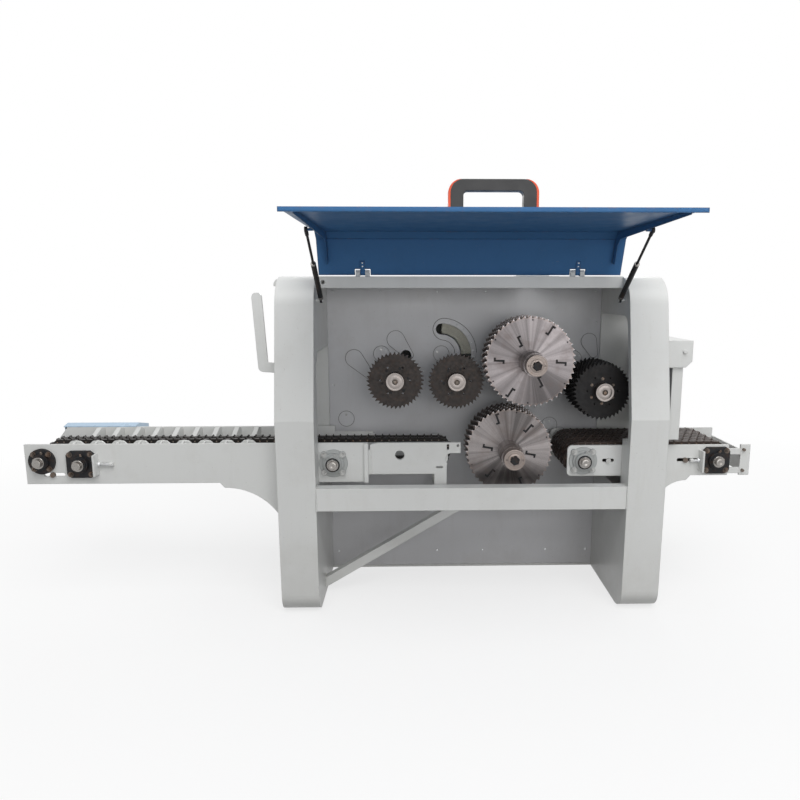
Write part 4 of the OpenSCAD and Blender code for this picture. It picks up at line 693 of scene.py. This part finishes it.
def bearings():
    """Inner rings that turn with the shafts, and seals, lips, studs and nipples on the castings."""
    fixed = Build("bearing_fittings", "frame", BOLTS, "bright_steel")
    cast = Build("bearing_lips", "frame", BLACK, "black_iron")
    pale = Build("inner_bearing_lips", "frame", GREY, "grey_iron")
    seal = Build("bearing_seals", "frame", BLACK, "black_iron")
    for body, w in SHAFTS.items():
        x, z = spot(body)
        ring = Build(body + "_rings", body, STEEL, "bright_steel")
        for face, way in PLATE_FACES:
            y = fy(face + way * 34.4)
            ring.lathe([(0.0178, 0), (0.0245, 0), (0.0245, 0.0045), (0.0235, 0.0055), (0.0178, 0.0055)],
                       (x, y, z), (0, way, 0), 36)
            for a in (25, 145):
                px, pz = polar(x, z, 0.0246, a)
                ring.lathe([(0.0026, 0), (0.0026, 0.0012), (0, 0.0008)], (px, y + way * 0.0028, pz),
                           (px - x, 0, pz - z), 8)
            seal.lathe([(0.0250, 0), (0.0250, 0.0004), (0.0306, 0.0004), (0.0306, 0)],
                       (x, fy(face + way * 34), z), (0, way, 0), 40)
            boss = w * 0.00062 / 2
            lip = pale if w == LOBED_W else cast
            lip.lathe([(boss - 0.0005, 0.0262), (boss - 0.001, 0.0284), (boss - 0.0035, 0.0292),
                       (boss - 0.0062, 0.0288), (boss - 0.0062, 0.026)], (x, fy(face), z), (0, way, 0), 40)
            for a in (45, 135, 225, 315):
                px, pz = polar(x, z, BOLT_SHARE[w] * w / 1000, a)
                fixed.lathe([(0.0118, 0), (0.0118, 0.0016), (0.0085, 0.0016), (0.0085, 0)],
                            (px, fy(face + way * 13), pz), (0, way, 0), 20)
                fixed.lathe([(0.0046, 0), (0.0046, 0.0035), (0.0036, 0.0048), (0, 0.0048)],
                            (px, fy(face + way * 22), pz), (0, way, 0), 12)
            gx, gz = polar(x, z, boss + 0.0015, 78)
            fixed.lathe([(0.0048, 0), (0.0048, 0.005), (0.0030, 0.006), (0.0030, 0.010), (0.0036, 0.012),
                         (0, 0.0135)], (gx, fy(face + way * 20), gz), (gx - x, way * 0.03, gz - z), 10)
        ring.lathe([(0.0176, 0), (0.0176, 0.0008), (0.0150, 0.0022), (0.0060, 0.0022), (0.0030, 0.0004),
                    (0, 0.0004)], (x, fy(53), z), FORWARD, 32)
        ring.done()
    for piece in (fixed, cast, pale, seal):
        piece.done()


def arbor_front(name, body):
    """Black hex bolt on a washer, with the rings that step down to the nut."""
    x, z = spot(body)
    face = (x, fy(NUT_FACE), z)
    head = Build(name + "_bolt", body, BLACK, "black_iron")
    bolt(head, face, FORWARD, 0.0372, 0.0172, False, math.pi / 6)
    head.done()
    rim = Build(name + "_rings", body, NUT, "bright_steel")
    rim.lathe([(0.0282, 0), (0.0282, 0.0028), (0.0262, 0.0040), (0.018, 0.0040)], face, FORWARD, 40)
    for r0, r1, h in ((0.0400, 0.0448, 0.0022), (0.0312, 0.0345, 0.0012)):
        rim.lathe([(r0, 0), (r0, h), ((r0 + r1) / 2, h * 1.25), (r1, h * 0.8), (r1, 0)], face, FORWARD, 56)
    for depth, profile in ((92, [(0.0512, 0.0), (0.0517, 0.003), (0.0517, 0.010), (0.0512, 0.013)]),
                           (130, [(0.0512, 0.0), (0.0521, 0.001), (0.0521, 0.006), (0.0512, 0.007)])):
        rim.lathe(profile, (x, fy(depth), z), FORWARD, 56)
    rim.done()


# Depth of each press roller's front face
ROLLERS = {"first_wheel": 238, "second_wheel": 282.5, "third_wheel": 172}


def roller_hubs():
    """Turned hubs and centre bolts of the press rollers, with six bolts round them, or six black discs
    painted as the shade in openings.
    """
    for body, front in ROLLERS.items():
        x, z = spot(body)
        hub = Build(body + "_hub", body, HUB, "bright_steel")
        hub.lathe([(0.0402, 0.0), (0.0404, 0.006), (0.0404, 0.016), (0.0396, 0.018), (0.0396, 0.022),
                   (0.0404, 0.024), (0.0404, 0.041), (0.0388, 0.0442), (0.0330, 0.0446), (0.0318, 0.0442),
                   (0.0300, 0.0442), (0.0288, 0.0447), (0.0170, 0.0447), (0.0125, 0.0442), (0.0121, 0.040)],
                  (x, fy(front), z), FORWARD, 56)
        hub.done()
        core = Build(body + "_bolt", body, RUSTY, "bright_steel")
        bolt(core, (x, fy(front - 36.2), z), FORWARD, 0.0150, 0.0092)
        if body == "third_wheel":
            for k in range(6):
                px, pz = polar(x, z, 0.054, 60 * k + 30)
                bolt(core, (px, fy(front - 0.05), pz), FORWARD, 0.0090, 0.0050)
        core.done()
        if body != "third_wheel":
            # Painted shade: thin black discs stand for the dark insides of six openings in the roller face
            hole_shade = Build(body + "_holes", body, BLACK, "dark_steel")
            for k in range(6):
                px, pz = polar(x, z, 0.058, 60 * k + 10)
                hole_shade.lathe([(0.0062, 0.0), (0.0062, 0.0003), (0.0048, 0.0005), (0, 0.0001)],
                            (px, fy(front), pz), FORWARD, 16)
            hole_shade.done()


def in_first_slot(px, pz):
    """True where a place lies in the slot that the first roller's shaft swings along."""
    cx, cz = spot("first_lever")
    wx, wz = spot("first_wheel")
    reach = math.hypot(wx - cx, wz - cz)
    low = math.degrees(math.atan2(wz - cz, wx - cx))
    return any(math.dist((px, pz), polar(cx, cz, reach, low + 2 * k)) < 0.0265 for k in range(21))


def petal_path(big, small):
    """Fine outline round a large and a small round end, each given as (x, z, radius)."""
    (ax, az, ra), (bx, bz, rb) = big, small
    v = Vector((bx - ax, bz - az))
    turn = math.degrees(math.atan2(v[1], v[0]))
    lean = math.degrees(math.acos((ra - rb) / v.length))
    path = [polar(ax, az, ra, turn + lean + i * (360 - 2 * lean) / 24) for i in range(25)]
    path += [polar(bx, bz, rb, turn - lean + i * 2 * lean / 12) for i in range(13)]
    return [Vector(p).lerp(Vector(q), k / 6) for p, q in zip(path, path[1:] + path[:1]) for k in range(6)]


def draw_line(out, path, r, closed=False):
    """Thin line along (x, z) places on the panel's plates."""
    out.tube([(p[0], fy(COVER_FACE + 0.2), p[1]) for p in path], r, 6, closed)


def draw_clear(out, path, r):
    """Line along a closed outline that stops where it meets the first roller's slot."""
    n = len(path)
    clear = [not in_first_slot(*p) for p in path]
    if all(clear):
        draw_line(out, path, r, True)
    for i in range(n):
        if clear[i] and not clear[i - 1]:
            stop = next(k for k in range(n) if not clear[(i + k) % n])
            draw_line(out, [path[(i + k) % n] for k in range(stop)], r)


def panel_details():
    """Screws of the panel, its caps and the brush frame, and the cut lines round the plates on it, drawn dark
    as painted shadow in their seams.
    """
    screws = Build("panel_screws", "frame", ZINC, "bright_steel")
    y = fy(PANEL_FACE)
    for x in (-0.625, -0.40, -0.13, 0.10, 0.42, 0.625):
        for z in (1.375, 0.085):
            screw(screws, (x, y, z), FORWARD, 0.011)
    for z in (0.93, 1.23, 0.33):
        for x in (-0.632, 0.632):
            screw(screws, (x, y, z), FORWARD, 0.011)
    y = fy(COVER_FACE)
    for a in (6, 20, 34, 48, 62, 76, 86):
        px, pz = polar(*spot("second_lever"), ARM_L + 0.0380, a)
        screw(screws, (px, y, pz), FORWARD, 0.0075)
    for x, z in (spot("first_lever"), spot("third_lever"), *CAPS):
        for a in (30, 150, 270):
            px, pz = polar(x, z, 0.030, a)
            screw(screws, (px, y, pz), FORWARD, 0.0065)
    screws.done()
    # Painted shadow: dark tubes along the seams round the plates, caps and brush frame
    lines = Build("petal_lines", "frame", SHADOW, "dark_steel")
    for petal in (((-0.530, 1.060, 0.042), (-0.452, 0.975, 0.020)),
                  ((-0.330, 1.150, 0.042), (-0.268, 1.075, 0.022)),
                  ((0.600, 1.140, 0.038), (0.624, 1.080, 0.020))):
        draw_clear(lines, petal_path(*petal), 0.0011)
    for x, z in (spot("first_lever"), spot("second_lever"), spot("third_lever"), *CAPS):
        draw_line(lines, [polar(x, z, 0.038, 7.5 * k) for k in range(48)], 0.0011, True)
    x, z = spot("second_lever")
    tip = polar(x, z, ARM_L, 84)
    path = [polar(x, z, 0.170, 2 + 82 * k / 24) for k in range(25)]
    path += [polar(*tip, 0.052, 84 + 180 * k / 14) for k in range(1, 14)]
    path += [polar(x, z, 0.066, 84 - 82 * k / 16) for k in range(17)]
    draw_line(lines, path, 0.0013)
    lines.done()


def struts():
    """Caps, clips and rod ends of the gas struts, leaning as they do at rest."""
    lean, reach = math.radians(36.539), 0.434329
    way = Vector((0.0, -math.cos(lean), math.sin(lean)))
    for side, inward in (("left", 1), ("right", -1)):
        low = Vector((-inward * 0.632, -0.4113, 1.340))
        cap = Build(side + "_strut_cap", side + "_strut", STEEL, "dark_steel")
        cap.lathe([(0.0052, 0.236), (0.0107, 0.2362), (0.0108, 0.2415), (0.0098, 0.2445), (0.0052, 0.245)],
                  low, way, 24)
        cap.lathe([(0.0106, 0.016), (0.0112, 0.018), (0.0112, 0.026), (0.0106, 0.028)], low, way, 24)
        cap.done()
        clip = Build(side + "_strut_clips", "frame", ZINC, "bright_steel")
        clip.lathe([(0.0048, 0.0), (0.0092, 0.0), (0.0092, 0.0015), (0.0048, 0.0015)],
                   low + Vector((inward * 0.0052, 0, 0)), (inward, 0, 0), 20)
        clip.done()
        boot = Build(side + "_rod_end", side + "_rod", BLACK, "black_iron")
        boot.lathe([(0.0052, -0.030), (0.0070, -0.029), (0.0074, -0.014), (0.0060, -0.011)],
                   low + way * reach, way, 20)
        boot.done()


def hood_details():
    """Screws of the hood's hinges and handle, and the seams along its folds."""
    screws = Build("hood_screws", "hood", ZINC, "bright_steel")
    lean = math.radians(69)
    along = Vector((0, -math.cos(lean), math.sin(lean)))
    out = Vector((0, math.sin(lean), math.cos(lean)))
    hinge = Vector((0, -0.3513, 1.456))
    for x in (-0.460, 0.460):
        for up in (0.030, 0.045):
            place = hinge + Vector((x, 0, 0)) + along * up
            screw(screws, place, out, 0.009)
            screw(screws, place - out * 0.007, -out, 0.007)
    for x in (-0.118, 0.118):
        screw(screws, (x, -1.1331, 1.6241), (0, 0, -1), 0.014)
    screws.done()
    seams = Build("hood_seams", "hood", BLUE, "hood_blue")
    rise = math.radians(0.4)
    fold = hinge + along * 0.178 + Vector((0, -math.cos(rise), math.sin(rise))) * 0.030
    for p in (hinge + along * 0.148 - out * 0.003, fold - Vector((0, 0, 0.003))):
        seams.tube([p + Vector((-0.600 + 1.2 * k / 24, 0, 0)) for k in range(25)], 0.0016, 8)
        for k in range(13):
            ends = (-0.56 + 0.0933 * k, -0.545 + 0.0933 * k)
            seams.tube([p + Vector((x, 0, 0)) for x in ends], 0.0028, 8)
    seams.done()


def welds():
    """Painted weld beads where the frame's members meet."""
    rng = random.Random(3)
    bead = Build("weld_beads", "frame", WHITE, "white_paint")

    def run(a, b, r=0.0042):
        a, b = Vector(a), Vector(b)
        n = max(3, int((b - a).length / 0.006))
        path = []
        for i in range(n + 1):
            shake = [rng.uniform(-0.0006, 0.0006) for _ in range(3)]
            path.append(a.lerp(b, i / n) + Vector(shake))
        bead.tube(path, r, 7)
        for p in path[1:-1]:
            bead.lathe([(0, -r * 0.55), (r * 1.12, 0.0), (0, r * 0.55)], p, b - a, 7)

    inner, outer, plate_y = 0.654, 0.814, fy(PLATE_FACES[0][0])
    # Front beam and top beam on the pillars
    for x in (-inner, inner):
        run((x, fy(6), 0.468), (x, fy(6), 0.566))
        run((x, fy(6), 0.468), (x, fy(58), 0.468))
        run((x, fy(199.7), 1.391), (x, fy(249), 1.391))
    # Conveyor plates on the pillars
    for x, z0, z1 in ((-outer, 0.470, 0.739), (outer, 0.590, 0.722)):
        run((x, plate_y, z0), (x, plate_y, z1), 0.0036)
    # Ends of the brace
    run((-inner, fy(225), 0.030), (-inner, fy(225), 0.078))
    run((-0.130, fy(225), 0.423), (-0.060, fy(225), 0.423), 0.0036)
    # Cradle wings on their plates
    for i in range(9):
        x = -1.700 + 0.092 * i
        run((x, fy(115), 0.672), (x, fy(115), 0.733), 0.0026)
        run((x - 0.036, fy(460), 0.672), (x - 0.036, fy(460), 0.733), 0.0026)
    # Support arm
    run((-outer, fy(120), 1.040), (-outer, fy(120), 1.082), 0.0032)
    bead.done(60)


def jack_screws():
    """Threads and lock nuts on the tension screws."""
    start, pitch, points, r = 0.0725, 0.0019, 10, 0.0060
    thread = Build("jack_threads", "frame", ZINC, "bright_steel")
    for body, side, length in (("infeed_tension_axle", 1, 0.050), ("outfeed_end_axle", -1, 0.028)):
        x, z = spot(body)
        base = Vector((x + side * start, fy(PLATE_FACES[0][0] - 10), z))
        path = []
        for i in range(int(length / pitch) * points):
            a = 2 * math.pi * i / points
            along = side * (0.001 + i * pitch / points)
            path.append(base + Vector((along, r * math.cos(a), r * math.sin(a))))
        thread.tube(path, 0.0007, 5)
        thread.lathe([(0.0062, 0), (0.0094, 0), (0.0094, 0.0070), (0.0084, 0.0085), (0.0062, 0.0085)],
                     base, (side, 0, 0), 6)
    thread.done()


def rear_details():
    """Lock, hinge screws and louvres of the rear door, and the lifting eyes of the motors."""
    door_y, motor_z = fy(1146), 0.190
    fit = Build("door_fittings", "door", ZINC, "bright_steel")
    fit.lathe([(0.016, 0), (0.016, 0.004), (0.013, 0.006), (0.013, 0.016), (0.011, 0.018), (0, 0.018)],
              (-0.560, door_y, 0.640), BACKWARD, 28)
    for z in (0.330, 1.130):
        for dz in (0.030, 0.042):
            screw(fit, (0.622, fy(1156), z + dz), BACKWARD, 0.008)
    fit.done()
    louvre = Build("door_louvres", "door", WHITE, "white_paint")
    sides = [(k, k + 4, (k + 1) % 4 + 4, (k + 1) % 4) for k in range(4)]
    for x in (-0.330, 0.330):
        for i in range(9):
            z = 0.250 + 0.030 * i
            section = [(door_y, z + 0.009), (door_y + 0.009, z - 0.001), (door_y + 0.009, z - 0.004),
                       (door_y, z + 0.006)]
            verts = [(x + end * 0.158, py, pz) for end in (-1, 1) for py, pz in section]
            louvre.add(verts, [(0, 1, 2, 3), (7, 6, 5, 4), *sides])
    louvre.done(20)
    eyes = Build("motor_eyes", "frame", RUSTY, "bright_steel")
    for x, front in ((-0.330, 552), (0.400, 628)):
        x, y = x + 0.085, fy(front + 260)
        ring = [polar(x, motor_z + 0.172, 0.016, 18 * k) for k in range(20)]
        eyes.tube([(px, y, pz) for px, pz in ring], 0.0045, 8, True)
        eyes.lathe([(0.012, -0.012), (0.012, 0.004), (0.007, 0.006), (0, 0.006)],
                   (x, y, motor_z + 0.135), (0, 0, 1), 16)
    eyes.done()


brush()
tips("upper_tips", "upper_spindle", UPPER_D)
tips("lower_tips", "lower_spindle", LOWER_D)
# Black fills in the blades' slots and rim openings are painted shade
slot_shade_fills("upper_slot_backs", "upper_spindle", UPPER_D, 0.0)
slot_shade_fills("lower_slot_backs", "lower_spindle", LOWER_D, -17 * 360 / TEETH)
chains()
bearings()
arbor_front("upper_arbor", "upper_spindle")
arbor_front("lower_arbor", "lower_spindle")
roller_hubs()
panel_details()
struts()
hood_details()
welds()
jack_screws()
rear_details()
